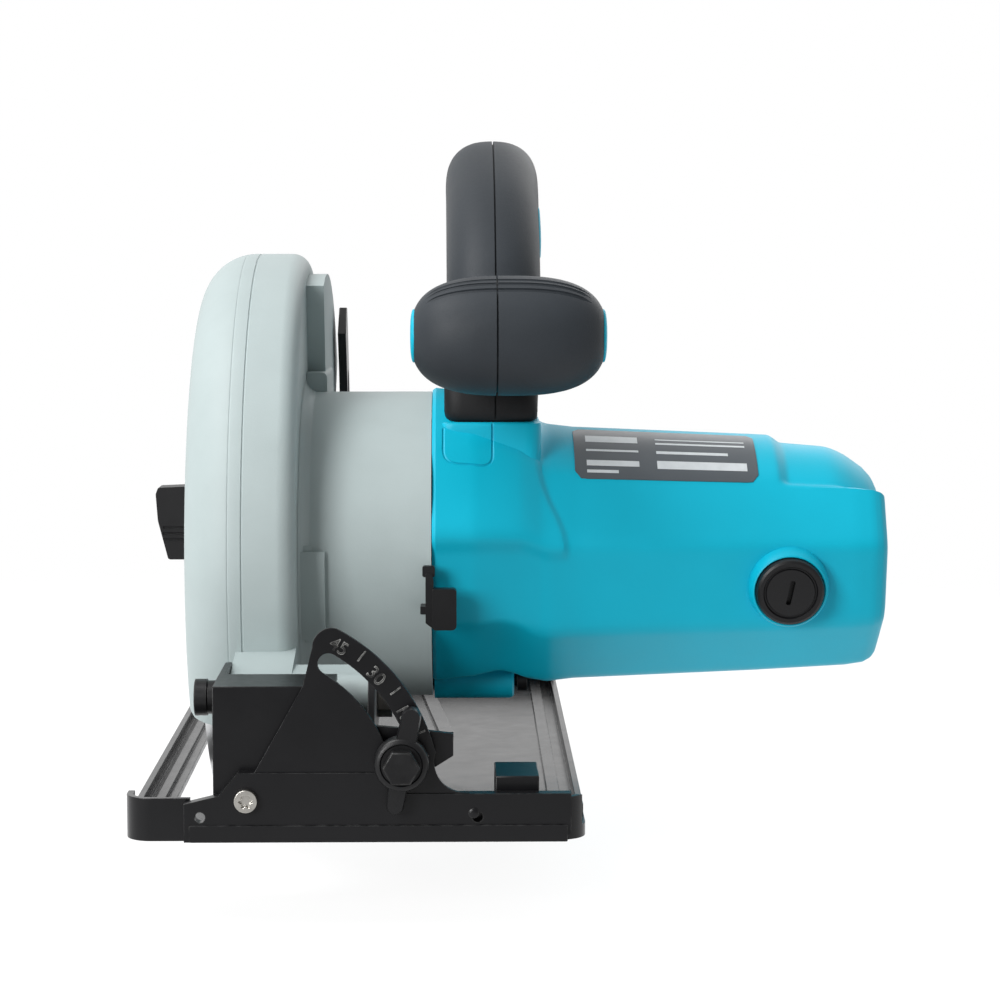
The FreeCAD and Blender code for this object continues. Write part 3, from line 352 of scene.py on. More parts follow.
FINISHES: tuple[Finish, ...] = (
    Finish("base_enamel", (0.004, 0.004, 0.005), 0.23, texture=Texture.ENAMEL, grain=0.004,
           grain_size=1.2, mottle=0.1, wear=(0.06, 0.06, 0.06), specular=0.42),
    # Painted highlight: pale edges on the scale's numbers and marks stand in for glints.
    Finish("enamel_painted_glint", (0.02, 0.02, 0.02), 0.35, texture=Texture.ENAMEL, grain=0.01,
           mottle=0.2, mottle_size=3, wear=(0.75, 0.75, 0.72)),
    Finish("black_enamel", (0.005, 0.005, 0.006), 0.32, texture=Texture.ENAMEL, grain=0.008,
           grain_size=0.9, wear=(0.06, 0.06, 0.06), specular=0.36),
    Finish("case_grey", (0.415, 0.485, 0.485), 0.54, texture=Texture.CAST, mottle=0.03,
           mottle_size=20, grain=0.05, grain_size=0.55),
    Finish("teal_plastic", (0.0, 0.46, 0.64), 0.46, mottle=0.03, mottle_size=30, grain=0.022,
           grain_size=0.5, specular=0.3),
    Finish("grip_dark", (0.031, 0.037, 0.044), 0.55, mottle=0.06, grain=0.03, grain_size=0.6,
           specular=0.3),
    Finish("black_plastic", (0.006, 0.006, 0.007), 0.42, grain=0.02, grain_size=0.6, mottle=0.1,
           specular=0.4),
    Finish("zinc_steel", (0.62, 0.60, 0.56), 0.30, metal=1.0, texture=Texture.PLATED, mottle=0.10,
           mottle_size=5, grain=0.02, grain_size=0.9),
    Finish("black_steel", (0.022, 0.022, 0.023), 0.38, metal=0.6, texture=Texture.PLATED,
           mottle=0.2, mottle_size=4, grain=0.015, wear=(0.2, 0.2, 0.19)),
    Finish("blade_steel", (0.50, 0.51, 0.52), 0.30, metal=1.0, texture=Texture.GROUND, grain=0.02,
           grain_size=0.35),
    Finish("guard_aluminium", (0.58, 0.59, 0.60), 0.36, metal=1.0, texture=Texture.CAST,
           grain=0.03, grain_size=0.7),
    Finish("gear_steel", (0.33, 0.33, 0.34), 0.32, metal=1.0, texture=Texture.DRAWN, grain=0.01,
           mottle=0.12),
    Finish("bearing_steel", (0.66, 0.66, 0.66), 0.18, metal=1.0, texture=Texture.GROUND,
           grain=0.006, grain_size=0.3),
    Finish("lamination", (0.17, 0.17, 0.18), 0.45, metal=0.8, texture=Texture.STACKED, grain=0.05,
           grain_size=0.5),
    Finish("copper", (0.62, 0.25, 0.11), 0.34, metal=0.9, texture=Texture.WOUND, grain=0.10,
           grain_size=0.7, coat=0.3),
    Finish("carbon", (0.025, 0.025, 0.025), 0.6, grain=0.02, grain_size=0.4),
    Finish("brass_part", (0.70, 0.52, 0.22), 0.30, metal=1.0, texture=Texture.DRAWN, grain=0.01),
    Finish("fan_plastic", (0.06, 0.06, 0.065), 0.5, grain=0.02),
    Finish("label_film", (0.085, 0.098, 0.11), 0.36, texture=Texture.ENAMEL, grain=0.004,
           mottle=0.04),
    Finish("gland_rubber", (0.010, 0.010, 0.011), 0.6, grain=0.03, grain_size=0.8, specular=0.3),
    Finish("label_ink", (0.62, 0.66, 0.68), 0.45, texture=Texture.ENAMEL, grain=0.004,
           mottle=0.05, mottle_size=4),
)
MATERIALS: dict[str, bpy.types.Material] = {one.name: one.material() for one in FINISHES}


# ---------------------------------------------------------------- surfaces

def spread(low: float, high: float, count: int) -> Array:
    """Evenly spaced numbers from low to high."""
    return np.linspace(low, high, count)


def around(count: int) -> Array:
    """Evenly spaced angles of one whole turn, in radians."""
    return spread(0, TURN, count + 1)[:-1]


def circle(turn: Array) -> Array:
    """Points of the unit circle at angles in radians."""
    return np.stack([np.cos(turn), np.sin(turn)], -1)


def unit(vectors: Array) -> Array:
    """Vectors made one long."""
    return vectors / np.linalg.norm(vectors, axis=-1, keepdims=True)


def across(ahead: Array) -> Array:
    """Vectors of a plane turned a quarter turn to the left."""
    return np.stack([-ahead[..., 1], ahead[..., 0]], -1)


def rectangle(left: float, low: float, right: float, high: float) -> Array:
    """Corners of a rectangle in order."""
    return np.array([(left, low), (right, low), (right, high), (left, high)], float)


def step(low: float, high: float, value: Array | float) -> Array:
    """A smooth step: 0 below low, 1 above high, and 3t^2 - 2t^3 between."""
    share = np.clip((np.asarray(value, float) - low) / (high - low), 0, 1)
    return share * share * (3 - 2 * share)


def grid_faces(rows: int, columns: int, ends: bool) -> list[list[int]]:
    """Faces of a grid of points, row after row, each row closed to a ring.

    Args:
        rows: points along the first parameter.
        columns: points along the second.
        ends: True closes the first and last rows to one point each, after the grid's own.

    Returns:
        The faces.
    """
    row, column = np.meshgrid(np.arange(rows - 1), np.arange(columns), indexing="ij")
    after = (column + 1) % columns
    quads = np.stack([row * columns + column, row * columns + after,
                      (row + 1) * columns + after, (row + 1) * columns + column], -1)
    faces = quads.reshape(-1, 4).tolist()
    if ends:
        here = np.arange(columns)
        there = (here + 1) % columns
        low, tip = (rows - 1) * columns, np.full(columns, rows * columns)
        faces += np.stack([there, here, tip], -1).tolist()
        faces += np.stack([low + here, low + there, tip + 1], -1).tolist()
    return faces


def rounded_loop(corners: Sequence[Sequence[float]], radii: float | Sequence[float],
                 steps: int = 6) -> Array:
    """A closed outline with its corners rounded.

    Each corner becomes an arc that touches both sides at radius / tan(half angle) from it.

    Args:
        corners: the outline's corners in order.
        radii: one radius, or one for each corner.
        steps: points along each arc.

    Returns:
        The outline's points, one row each.
    """
    points = np.asarray(corners, float)
    radius = np.broadcast_to(np.asarray(radii, float), (len(points),))
    before = np.roll(points, 1, 0) - points
    after = np.roll(points, -1, 0) - points
    reach_a, reach_b = np.linalg.norm(before, axis=1), np.linalg.norm(after, axis=1)
    before, after = before / reach_a[:, None], after / reach_b[:, None]
    half = np.arccos(np.clip((before * after).sum(1), -0.9999, 0.9999)) / 2
    inset = np.minimum(radius / np.tan(half), np.minimum(reach_a, reach_b) * 0.49)
    share = spread(0, 1, steps)[None, :, None]
    start, end = points + before * inset[:, None], points + after * inset[:, None]
    # A quadratic curve from the first touching point by way of the corner to the second.
    arc = ((1 - share) ** 2 * start[:, None] + 2 * share * (1 - share) * points[:, None]
           + share ** 2 * end[:, None])
    return arc.reshape(-1, 2)


def spline(knots: Array, places: Array) -> Array:
    """Values on a smooth curve through evenly numbered knots (Catmull-Rom).

    Args:
        knots: one row for each knot.
        places: knot numbers, whole or between.

    Returns:
        One row for each place.
    """
    index = np.clip(np.floor(places).astype(int), 0, len(knots) - 2)
    share = (places - index)[:, None]
    padded = np.vstack([2 * knots[:1] - knots[1:2], knots, 2 * knots[-1:] - knots[-2:-1]])
    a, b, c, d = (padded[index + offset] for offset in range(4))
    return 0.5 * (2 * b + (c - a) * share + (2 * a - 5 * b + 4 * c - d) * share ** 2
                  + (3 * b - a - 3 * c + d) * share ** 3)


def arc_band(centre: Pair, inner: float, outer: float, start: float, end: float) -> Array:
    """Outline of a band between two radii and two angles in degrees from the first axis."""
    ring = circle(np.radians(spread(start, end, 40)))
    return np.vstack([ring * outer, ring[::-1] * inner]) + np.asarray(centre, float)


class Axis(Enum):
    """The axis that an outline is carried along, with where its two numbers go."""

    X = (0, 1, 2)
    Y = (1, 0, 2)
    Z = (2, 0, 1)


def stacked(outlines: Array | Sequence[Array], places: Array | Sequence[float],
            axis: Axis) -> Array:
    """Outlines at places along an axis, as one grid of points.

    Args:
        outlines: flat outlines with the same number of points.
        places: where each stands.
        axis: the axis.

    Returns:
        The points by outline and number.
    """
    grid = np.zeros((len(outlines), len(outlines[0]), 3))
    along, *others = axis.value
    grid[..., along] = np.asarray(places, float)[:, None]
    grid[..., others] = np.stack(outlines)
    return grid


class Merge(Enum):
    """What combining does with another piece's shape."""

    CUT = "DIFFERENCE"
    JOIN = "UNION"
    KEEP = "INTERSECT"


class Piece:
    """One mesh object in the making. All sizes given to it are in millimetres."""

    def __init__(self, name: str, mesh: bpy.types.Mesh) -> None:
        """Puts a mesh into the scene under a name."""
        self.object = bpy.data.objects.new(name, mesh)
        bpy.context.scene.collection.objects.link(self.object)

    @classmethod
    def of_points(cls, name: str, points: Array, faces: Sequence[Sequence[int]]) -> "Piece":
        """A piece from its points and faces, which are turned outwards.

        Args:
            name: the piece's name.
            points: one row for each point.
            faces: point numbers of each face.

        Returns:
            The piece.
        """
        mesh = bpy.data.meshes.new(name)
        mesh.from_pydata((np.asarray(points, float) * MM).tolist(), [], faces)
        mesh.validate()
        return cls(name, mesh).outward()

    @classmethod
    def surface(cls, name: str, grid: Array, ends: bool = True) -> "Piece":
        """A grid of points as a surface, each of its rows closed to a ring.

        Args:
            name: the piece's name.
            grid: points by row and column.
            ends: True closes the first and last rings.

        Returns:
            The piece.
        """
        points = grid.reshape(-1, 3)
        if ends:
            points = np.vstack([points, grid[0].mean(0), grid[-1].mean(0)])
        return cls.of_points(name, points, grid_faces(*grid.shape[:2], ends))

    @classmethod
    def slab(cls, name: str, outline: Array, low: float, high: float,
             axis: Axis = Axis.X) -> "Piece":
        """A flat outline given a thickness along an axis.

        Args:
            name: the piece's name.
            outline: its points in order.
            low: where the slab starts on the axis.
            high: where it ends.
            axis: the axis.

        Returns:
            The piece.
        """
        grid = stacked([outline, outline], [low, high], axis).reshape(-1, 3)
        count = len(outline)
        here = np.arange(count)
        there = (here + 1) % count
        faces = np.stack([here, there, there + count, here + count], -1).tolist()
        faces += [here[::-1].tolist(), (here + count).tolist()]
        return cls.of_points(name, grid, faces)

    @classmethod
    def turned(cls, name: str, profile: Array | Sequence[Pair], centre: Sequence[float],
               count: int = 64) -> "Piece":
        """A profile turned about a line along X.

        Args:
            name: the piece's name.
            profile: rows of X and radius.
            centre: the line's Y and Z.
            count: points round each ring.

        Returns:
            The piece.
        """
        profile = np.asarray(profile, float)
        outlines = np.asarray(centre, float) + circle(around(count)) * profile[:, 1, None, None]
        return cls.surface(name, stacked(outlines, profile[:, 0], Axis.X))

    @classmethod
    def peg(cls, name: str, profile: Array | Sequence[Pair], count: int,
            origin: Sequence[float], ahead: Sequence[float]) -> "Piece":
        """A profile of (place, radius) turned about a line from origin that points ahead."""
        return cls.turned(name, profile, (0, 0), count).moved(origin, ahead)

    @classmethod
    def tube(cls, name: str, line: Array, radius: float | Array, closed: bool = False,
             count: int = 8) -> "Piece":
        """A round tube along a line, with its rings square to the line.

        Args:
            name: the piece's name.
            line: one row for each point of the line.
            radius: one radius, or one for each point.
            closed: True joins the line's end to its start.
            count: points round each ring.

        Returns:
            The piece.
        """
        ahead = unit(np.roll(line, -1, 0) - np.roll(line, 1, 0) if closed
                     else np.gradient(line, axis=0))
        helper = np.eye(3)[np.argmin(np.abs(ahead).sum(0))]
        side = unit(np.cross(ahead, helper))
        up = np.cross(ahead, side)
        angle = around(count)[None, :, None]
        reach = np.broadcast_to(np.asarray(radius, float), (len(line),))[:, None, None]
        grid = line[:, None] + reach * (np.cos(angle) * side[:, None] + np.sin(angle) * up[:, None])
        if closed:
            return cls.surface(name, np.concatenate([grid, grid[:1]]), ends=False).merged()
        return cls.surface(name, grid)

    @classmethod
    def copy_of(cls, name: str, node: str) -> "Piece":
        """A merged copy of a frame node's mesh, with its flat faces made whole.

        Args:
            name: the copy's name.
            node: the node.

        Returns:
            The copy.
        """
        def clean(shape: bmesh.types.BMesh) -> None:
            """Joins the loose triangles, then drops the edges between level ones."""
            bmesh.ops.remove_doubles(shape, verts=shape.verts, dist=MERGE * MM)
            bmesh.ops.dissolve_limit(shape, angle_limit=math.radians(FLAT_ANGLE),
                                     verts=shape.verts, edges=shape.edges)

        mesh = frame["nodes"][node].data.copy()
        mesh.name = name
        mesh.materials.clear()
        piece = cls(name, mesh).edited(clean)
        if "custom_normal" in mesh.attributes:
            mesh.attributes.remove(mesh.attributes["custom_normal"])
        return piece

    @classmethod
    def joined(cls, name: str, pieces: Sequence["Piece"]) -> "Piece":
        """Several pieces' meshes in one object with a new name."""
        piece = pieces[0].add(pieces[1:])
        piece.object.name = name
        return piece

    def edited(self, work: Callable[[bmesh.types.BMesh], object]) -> "Piece":
        """Lets a function change the mesh.

        Args:
            work: the function.

        Returns:
            This piece.
        """
        shape = bmesh.new()
        shape.from_mesh(self.object.data)
        work(shape)
        shape.to_mesh(self.object.data)
        shape.free()
        return self

    def outward(self) -> "Piece":
        """Turns every face outwards."""
        return self.edited(lambda shape: bmesh.ops.recalc_face_normals(shape, faces=shape.faces))

    def merged(self) -> "Piece":
        """Joins the points that lie on one another, then turns every face outwards."""
        return self.edited(lambda shape: bmesh.ops.remove_doubles(
            shape, verts=shape.verts, dist=MERGE * MM)).outward()

    def moved(self, origin: Sequence[float], ahead: Sequence[float]) -> "Piece":
        """Turns the piece's X axis to point ahead, then moves it to an origin."""
        turn = Vector((1, 0, 0)).rotation_difference(Vector(ahead)).to_matrix().to_4x4()
        self.object.data.transform(Matrix.Translation(Vector(origin) * MM) @ turn)
        return self

    def settle(self) -> "Piece":
        """Puts the result of the modifiers into the mesh.

        Returns:
            This piece.
        """
        graph = bpy.context.evaluated_depsgraph_get()
        old = self.object.data
        made = bpy.data.meshes.new_from_object(self.object.evaluated_get(graph))
        self.object.modifiers.clear()
        self.object.data = made
        name = old.name
        bpy.data.meshes.remove(old)
        made.name = name
        return self

    def bevel(self, width: float, steps: int = 2, angle: float = 32) -> "Piece":
        """Rounds the edges.

        Args:
            width: how wide the rounding is.
            steps: faces across it.
            angle: the sharpest edge left alone, in degrees.

        Returns:
            This piece.
        """
        made = self.object.modifiers.new("edges", "BEVEL")
        made.width, made.segments = width * MM, steps
        made.limit_method, made.angle_limit = "ANGLE", math.radians(angle)
        made.use_clamp_overlap = True
        made.harden_normals = False
        return self

    def combine(self, merge: Merge, others: Sequence["Piece"]) -> "Piece":
        """Combines this piece with others, which are used up.

        Args:
            merge: what to do with their shapes.
            others: the other pieces.

        Returns:
            This piece.
        """
        for other in others:
            made = self.object.modifiers.new("combine", "BOOLEAN")
            made.operation, made.solver, made.object = merge.value, "EXACT", other.object
            made.use_self = False
            self.settle()
            bpy.data.objects.remove(other.object)
        return self

    def add(self, others: Sequence["Piece"]) -> "Piece":
        """Puts other pieces' meshes beside this one's, and uses them up.

        Args:
            others: the other pieces.

        Returns:
            This piece.
        """
        def gather(shape: bmesh.types.BMesh) -> None:
            """Reads each of the others into one mesh."""
            for other in others:
                shape.from_mesh(other.object.data)
                bpy.data.objects.remove(other.object)

        return self.edited(gather)

    def smooth(self, angle: float = 35) -> "Piece":
        """Shades the faces smooth, apart from edges sharper than an angle in degrees."""
        self.object.data.shade_smooth()
        self.object.data.set_sharp_from_angle(angle=math.radians(angle))
        return self

    def done(self, body: str, slot: str, finish: str = "", replaces: Sequence[str] = ()) -> "Piece":
        """Dresses the piece and gives it to the body that carries it.

        Args:
            body: the body's name.
            slot: the record's material slot.
            finish: the finish, where it isn't the slot's own.
            replaces: the frame nodes that it stands for.

        Returns:
            This piece.
        """
        self.object.data.materials.clear()
        self.object.data.materials.append(MATERIALS[finish or slot])
        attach(self.object, body)
        if replaces:
            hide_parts(*replaces)
        log.info("%s rides on %s, %d faces", self.object.name, body,
                 len(self.object.data.polygons))
        return self


def rounded(name: str, node: str, body: str, slot: str, width: float, steps: int = 2) -> None:
    """Makes a piece of a frame node's shape with its edges rounded.

    Args:
        name: the piece's name.
        node: the node it stands for.
        body: the body that carries it.
        slot: the material slot.
        width: how wide the rounding is.
        steps: faces across it.
    """
    Piece.copy_of(name, node).bevel(width, steps).smooth(34).done(body, slot, replaces=(node,))


# ---------------------------------------------------------------- handle

@dataclass
class Handle:
    """The D-shaped handle with the cross grip at its front, in two halves.

    The bar's line is given as rows of (Y, Z, half thickness, half width).
    """

    split: float = 43.1
    gap: float = 0.55
    line: Array = field(default_factory=lambda: np.array([
        (-26, 100, 12.5, 14.4), (-26, 111, 12.8, 14.6), (-26, 120, 12.8, 14.8),
        (-29, 128, 13.0, 15.0), (-37, 138, 14.0, 15.2), (-42, 148, 16.0, 15.3),
        (-38, 163, 17, 15.4), (-17, 181, 17, 15.6),
        (12, 194, 16.7, 16.1), (32, 196.4, 16.7, 16.3), (55, 190.5, 16.5, 16.3),
        (79, 169.5, 17, 16.3), (98, 141, 17.5, 16.3), (104, 116, 18, 16.3),
        (94, 96, 15, 16.2), (72, 88, 13.5, 16), (48, 86, 14, 16), (24, 84, 15, 16)], float))
    bar_power: float = 2.5
    flare_power: float = 2.4
    flare_span: Pair = (-40, -76)
    grip_centre: Triple = (46.8, -80.0, 148.4)
    grip_reach: Triple = (31.0, 19.3, 19.0)
    grip_power: float = 2.8
    grip_round: float = 2.2
    grooves: tuple[float, ...] = (67.0, 58.5, 49.0)
    groove_span: Pair = (20.5, 72.8)
    groove_radius: float = 0.95
    voxel: float = 1.25
    core_inset: float = 1.1
    foot_box: tuple[float, ...] = (26.2, -47.2, 57.2, -12)

    def ring(self, wide: Array, tall: Array, power: float) -> Array:
        """Superellipse rings: |a/wide|^power + |b/tall|^power = 1.

        Args:
            wide: half width of each ring.
            tall: half height of each ring.
            power: the superellipse's power.

        Returns:
            The points by ring and number.
        """
        cosine, sine = circle(around(56)).T
        scale = (np.abs(cosine) ** power + np.abs(sine) ** power) ** (-1 / power)
        return np.stack([wide[:, None] * cosine * scale, tall[:, None] * sine * scale], -1)

    def bar(self) -> Piece:
        """The bar: superellipse rings carried square to its line in the Y-Z plane.

        Returns:
            The bar.
        """
        rows = spline(self.line, spread(0, len(self.line) - 1, 150))
        middle = rows[:, :2]
        normal = across(unit(np.gradient(middle, axis=0)))
        ring = self.ring(rows[:, 3], rows[:, 2], self.bar_power)
        grid = np.empty((*ring.shape[:2], 3))
        grid[..., 0] = self.split - 0.3 + ring[..., 0]
        grid[..., 1:] = middle[:, None] + normal[:, None] * ring[..., 1:]
        return Piece.surface("bar", grid)

    def grip_radius(self, place: Array) -> Array:
        """Half height of the cross grip at X: (1 - |u|^power)^(1 / power), u from its middle."""
        share = np.abs((place - self.grip_centre[0]) / self.grip_reach[0])
        return np.clip(1 - np.clip(share, 0, 1) ** self.grip_power, 0, 1) ** (1 / self.grip_power)

    def grip(self) -> Piece:
        """The cross grip: superellipse rings whose size follows its outline from above.

        Returns:
            The grip.
        """
        turn = np.cos(spread(math.pi * 0.985, math.pi * 0.015, 70))
        place = self.grip_centre[0] + self.grip_reach[0] * np.sign(turn) * np.abs(turn) ** 0.8
        size = np.maximum(self.grip_radius(place), 0.30)
        ring = self.ring(size * self.grip_reach[1], size * self.grip_reach[2], self.grip_round)
        return Piece.surface("grip", stacked(ring + np.array(self.grip_centre[1:]), place, Axis.X))

    def flare(self) -> Piece:
        """The web between bar and grip, which widens forwards: rings carried along Y.

        Returns:
            The web.
        """
        start, end = self.flare_span
        along = spread(start, end, 16)
        share = (along - start) / (end - start)
        ring = self.ring(15.0 + 10.5 * share ** 2.2, 17.0 - 1.5 * share, self.flare_power)
        ring[..., 0] += self.split + 1.2 * share[:, None]
        ring[..., 1] += 150.0 - 2.0 * share[:, None]
        return Piece.surface("flare", stacked(ring, along, Axis.Y))

    def groove(self, degrees: float) -> Piece:
        """A round cutter along the cross grip, thinner at its ends.

        Args:
            degrees: its angle above the level.

        Returns:
            The cutter.
        """
        count, power, turn = 60, self.grip_round, math.radians(degrees)
        place = spread(*self.groove_span, count)
        size = self.grip_radius(place)
        shape = (math.cos(turn) ** power + math.sin(turn) ** power) ** (-1 / power)
        depth = size * self.grip_reach[1] * math.cos(turn) * shape
        rise = size * self.grip_reach[2] * math.sin(turn) * shape
        line = np.stack([place, self.grip_centre[1] - depth, self.grip_centre[2] + rise], -1)
        from_end = np.minimum(np.arange(count), np.arange(count)[::-1])
        return Piece.tube("groove", line, self.groove_radius * np.minimum(1, from_end / 4 + 0.15))

    def shell(self) -> None:
        """Bar, web and grip made one skin, then parted at the seam over a dark core."""
        body = Piece.joined("handle_grip", [self.bar(), self.grip(), self.flare()])
        remesh = body.object.modifiers.new("skin", "REMESH")
        remesh.mode, remesh.voxel_size = "VOXEL", self.voxel * MM
        soften = body.object.modifiers.new("soften", "SMOOTH")
        soften.factor, soften.iterations = 0.5, 9
        body.settle()
        core = Piece("core", body.object.data.copy())
        shrink = core.object.modifiers.new("shrink", "DISPLACE")
        shrink.strength, shrink.mid_level = -self.core_inset * MM, 0.0
        core.object.modifiers.new("thin", "DECIMATE").ratio = 0.25
        core.settle()
        body.combine(Merge.CUT, [self.groove(angle) for angle in self.grooves])
        half = self.gap / 2
        body.combine(Merge.CUT, [Piece.slab("parting", rectangle(-130, 40, 160, 240),
                                            self.split - half, self.split + half)])
        body.add([core]).smooth(40).done("saw", "grip_dark",
                                         replaces=("handle_left_half", "handle_right_half"))

    def cap(self, side: int) -> Piece:
        """A domed teal disc let into one end of the cross grip.

        Args:
            side: -1 for the left end, 1 for the right.

        Returns:
            The disc.
        """
        end = self.grip_centre[0] + side * (self.grip_reach[0] - 0.9)
        bend = spread(0, math.pi / 2, 10)
        profile = np.stack([np.concatenate([[-2.5], np.sin(bend)]),
                            np.concatenate([[8.4], 8.4 * np.cos(bend) ** 0.7 + 0.02])], -1)
        profile[:, 0] = end + side * profile[:, 0]
        return Piece.turned("cap", profile, self.grip_centre[1:], 48)

    def badge(self) -> Piece:
        """An oval teal pad on the outer side of the bar, above the cross grip.

        Returns:
            The pad.
        """
        along = np.array([0.78, 0.62])
        shares = (1.0, 1.0, 0.96, 0.86, 0.5, 0.1)
        lifts = np.array([56.0, 59.0, 59.6, 59.9, 60.1, 60.15]) - 1.2
        turn = circle(around(48))
        oval = np.array([12.5, 5.2]) * np.sign(turn) * np.abs(turn) ** 0.8
        flat = oval[:, :1] * along + oval[:, 1:] * across(along)
        rings = [np.array([-16.0, 180.8]) + flat * share for share in shares]
        return Piece.surface("badge", stacked(rings, lifts, Axis.X))

    def inserts(self) -> None:
        """The teal inserts, as one piece."""
        piece = Piece.joined("handle_inserts", [self.cap(-1), self.cap(1), self.badge()])
        piece.outward().smooth(40).done("saw", "teal_plastic", replaces=("pommel_inserts",))

    def foot(self) -> None:
        """The dark rubber foot between the bar and the motor: a rounded block."""
        outline = rounded_loop(rectangle(*self.foot_box), (6, 6, 4, 4))
        heights = (112, 118.8, 119.2, 120.2, 122.0, 130.0, 132.0)
        insets = (1.6, 1.6, 0.8, 0.25, 0.0, 0.0, 1.0)
        middle = outline.mean(0)
        rings = [middle + (outline - middle) * (1 - inset / 14) for inset in insets]
        half = self.gap / 2
        slot = rectangle(self.split - half, -49, self.split + half, -46.4)
        piece = Piece.surface("handle_foot", stacked(rings, heights, Axis.Z))
        piece.combine(Merge.CUT, [Piece.slab("foot_seam", slot, 110, 134, Axis.Z)])
        piece.smooth(50).done("saw", "grip_dark", "gland_rubber")

    def build(self) -> None:
        """All of the handle."""
        self.shell()
        self.inserts()
        self.foot()


# ---------------------------------------------------------------- motor

@dataclass
class MotorHousing:
    """The teal motor housing: a collar at the gear end and a faceted, tapered body.

    Angles are in degrees from straight up towards the front. Facets are rows of (angle,
    share of the radius at the collar, share beyond it), and bars are rows of (X from and to,
    angles from and to).
    """

    axis: Pair = (-15.0, 71.7)
    neck_rise: float = 3.3
    stations: tuple[float, ...] = (22.2, 23.2, 36, 58, 70, 132, 163, 169, 171.6, 173.0, 173.6)
    radii: tuple[float, ...] = (51.2, 52, 50.4, 44.6, 43.2, 40.6, 38.9, 38.0, 36.6, 34.6, 31.5)
    facets: tuple[Triple, ...] = (
        (62, 0.962, 0.962), (100, 0.950, 0.950), (142, 0.885, 0.945), (180, 0.865, 0.985),
        (-62, 0.962, 0.962), (-100, 0.950, 0.950), (-142, 0.885, 0.945))
    sharp: float = 170.0
    hollow: tuple[Pair, ...] = (
        (21.0, 42), (30, 41), (34, 36.5), (51.5, 36.5), (53.4, 39.4), (56.6, 39.4), (64, 37.8),
        (118, 37.6), (122, 33.5), (160, 32.5), (168, 30), (170.6, 26))
    vent_count: int = 12
    vent_reach: Pair = (10.5, 25.5)
    vent_half: float = 1.5
    brush_x: float = 139.7
    brush_turn: float = 100.5
    screws: tuple[Pair, ...] = ((-15.0, 27.4), (15.6, 111.5))
    boss: tuple[Pair, ...] = ((22.6, 6.2), (48.2, 6.2), (49.3, 5.9), (49.9, 5.2))
    collar_profile: tuple[Pair, ...] = (
        (30, 13.6), (39.5, 13.4), (42.6, 12.7), (43.4, 12.2), (43.6, 11.8), (43.2, 11.45),
        (41.5, 11.4))
    cap_profile: tuple[Pair, ...] = (
        (36, 11.3), (44.2, 11.3), (45.2, 10.9), (45.7, 10.2), (45.7, 9.0), (44.9, 8.6),
        (44.9, 8.2), (45.5, 7.9), (45.6, 1.0))
    seat_box: tuple[float, ...] = (24.6, -47.9, 58.3, -12)
    pad_box: tuple[float, ...] = (26.0, 22.0, 42.2, 53.0)
    label_places: Pair = (69.5, 130.5)
    label_turns: Pair = (9.5, 48.5)
    label_corner: float = 3.0
    bars: tuple[tuple[Pair, Pair], ...] = (
        ((73.5, 91), (38.2, 41.6)), ((73.5, 84), (44.0, 45.6)), ((97, 127), (37.6, 42.6)),
        ((97, 121), (30.6, 32.6)), ((73.5, 91), (30.6, 32.0)), ((97, 127), (23.5, 25.0)),
        ((97, 127), (19.8, 20.8)), ((73.5, 91), (18.5, 24.5)))

    def reach(self, place: Array, degrees: Array) -> Array:
        """Radius of the housing.

        The radius is the smooth least of a circle and flats: (sum of 1 / each ^ sharp)
        ^ (-1 / sharp), less a smooth step for the recess on top of the far end.

        Args:
            place: X.
            degrees: angle from straight up towards the front.

        Returns:
            The radius at each pair.
        """
        place, degrees = np.broadcast_arrays(place, degrees)
        turn = (degrees + 180) % 360 - 180
        size = np.interp(place, self.stations, self.radii)
        end = 57.5 + 8.5 * step(45, 82, np.abs(turn))
        size = size + 1.3 * (1 - step(82, 88, np.abs(turn))) * (1 - step(end - 1, end + 1.2, place))
        least = np.ones_like(size)
        for normal, near, far in self.facets:
            cosine = np.maximum(np.cos(np.radians(turn - normal)), 1e-6)
            share = near + (far - near) * step(43, 57, place)
            least = least + (cosine / share) ** self.sharp
        size = size * least ** (-1 / self.sharp)
        recess = step(136.5, 141.5, place) * (1 - step(45, 50, np.abs(turn)))
        return size - recess * (2.4 + 0.03 * (place - 139) + 9.0 * step(155, 180, place))

    def point(self, place: Array, degrees: Array, lift: float = 0.0) -> Array:
        """Points on the housing.

        Args:
            place: X.
            degrees: angle from straight up towards the front.
            lift: how far they stand off the housing.

        Returns:
            The point at each pair.
        """
        place, degrees = np.broadcast_arrays(place, degrees)
        size = self.reach(place, degrees) + lift
        turn = np.radians(degrees)
        rise = self.axis[1] + self.neck_rise * (1 - step(50, 62, place))
        return np.stack([place, self.axis[0] - size * np.sin(turn),
                         rise + size * np.cos(turn)], -1)

    def skin(self, name: str, place: Array, turn: Array, lift: float, thick: float) -> Piece:
        """A thin sheet of the housing's own surface.

        Args:
            name: its name.
            place: X by row and column.
            turn: angle by row and column.
            lift: how far its outside stands off the housing.
            thick: its thickness.

        Returns:
            The sheet.
        """
        top, low = self.point(place, turn, lift), self.point(place, turn, lift - thick)
        return Piece.surface(name, np.concatenate([top, low[:, ::-1]], 1))

    def vents(self) -> Piece:
        """Radial slots through the flat end.

        Returns:
            The slots, as one cutter.
        """
        near, far = self.vent_reach
        slots = []
        for number in range(self.vent_count):
            turn = TURN * (number + 0.5) / self.vent_count
            ahead = np.array([-math.sin(turn), math.cos(turn)])
            aside = -across(ahead) * self.vent_half
            corners = np.array([ahead * near + aside, ahead * near - aside,
                                ahead * far - aside * 1.5, ahead * far + aside * 1.5])
            slots.append(Piece.slab("slot", rounded_loop(corners + self.axis, 1.3, 5), 168, 190))
        return Piece.joined("vents", slots)

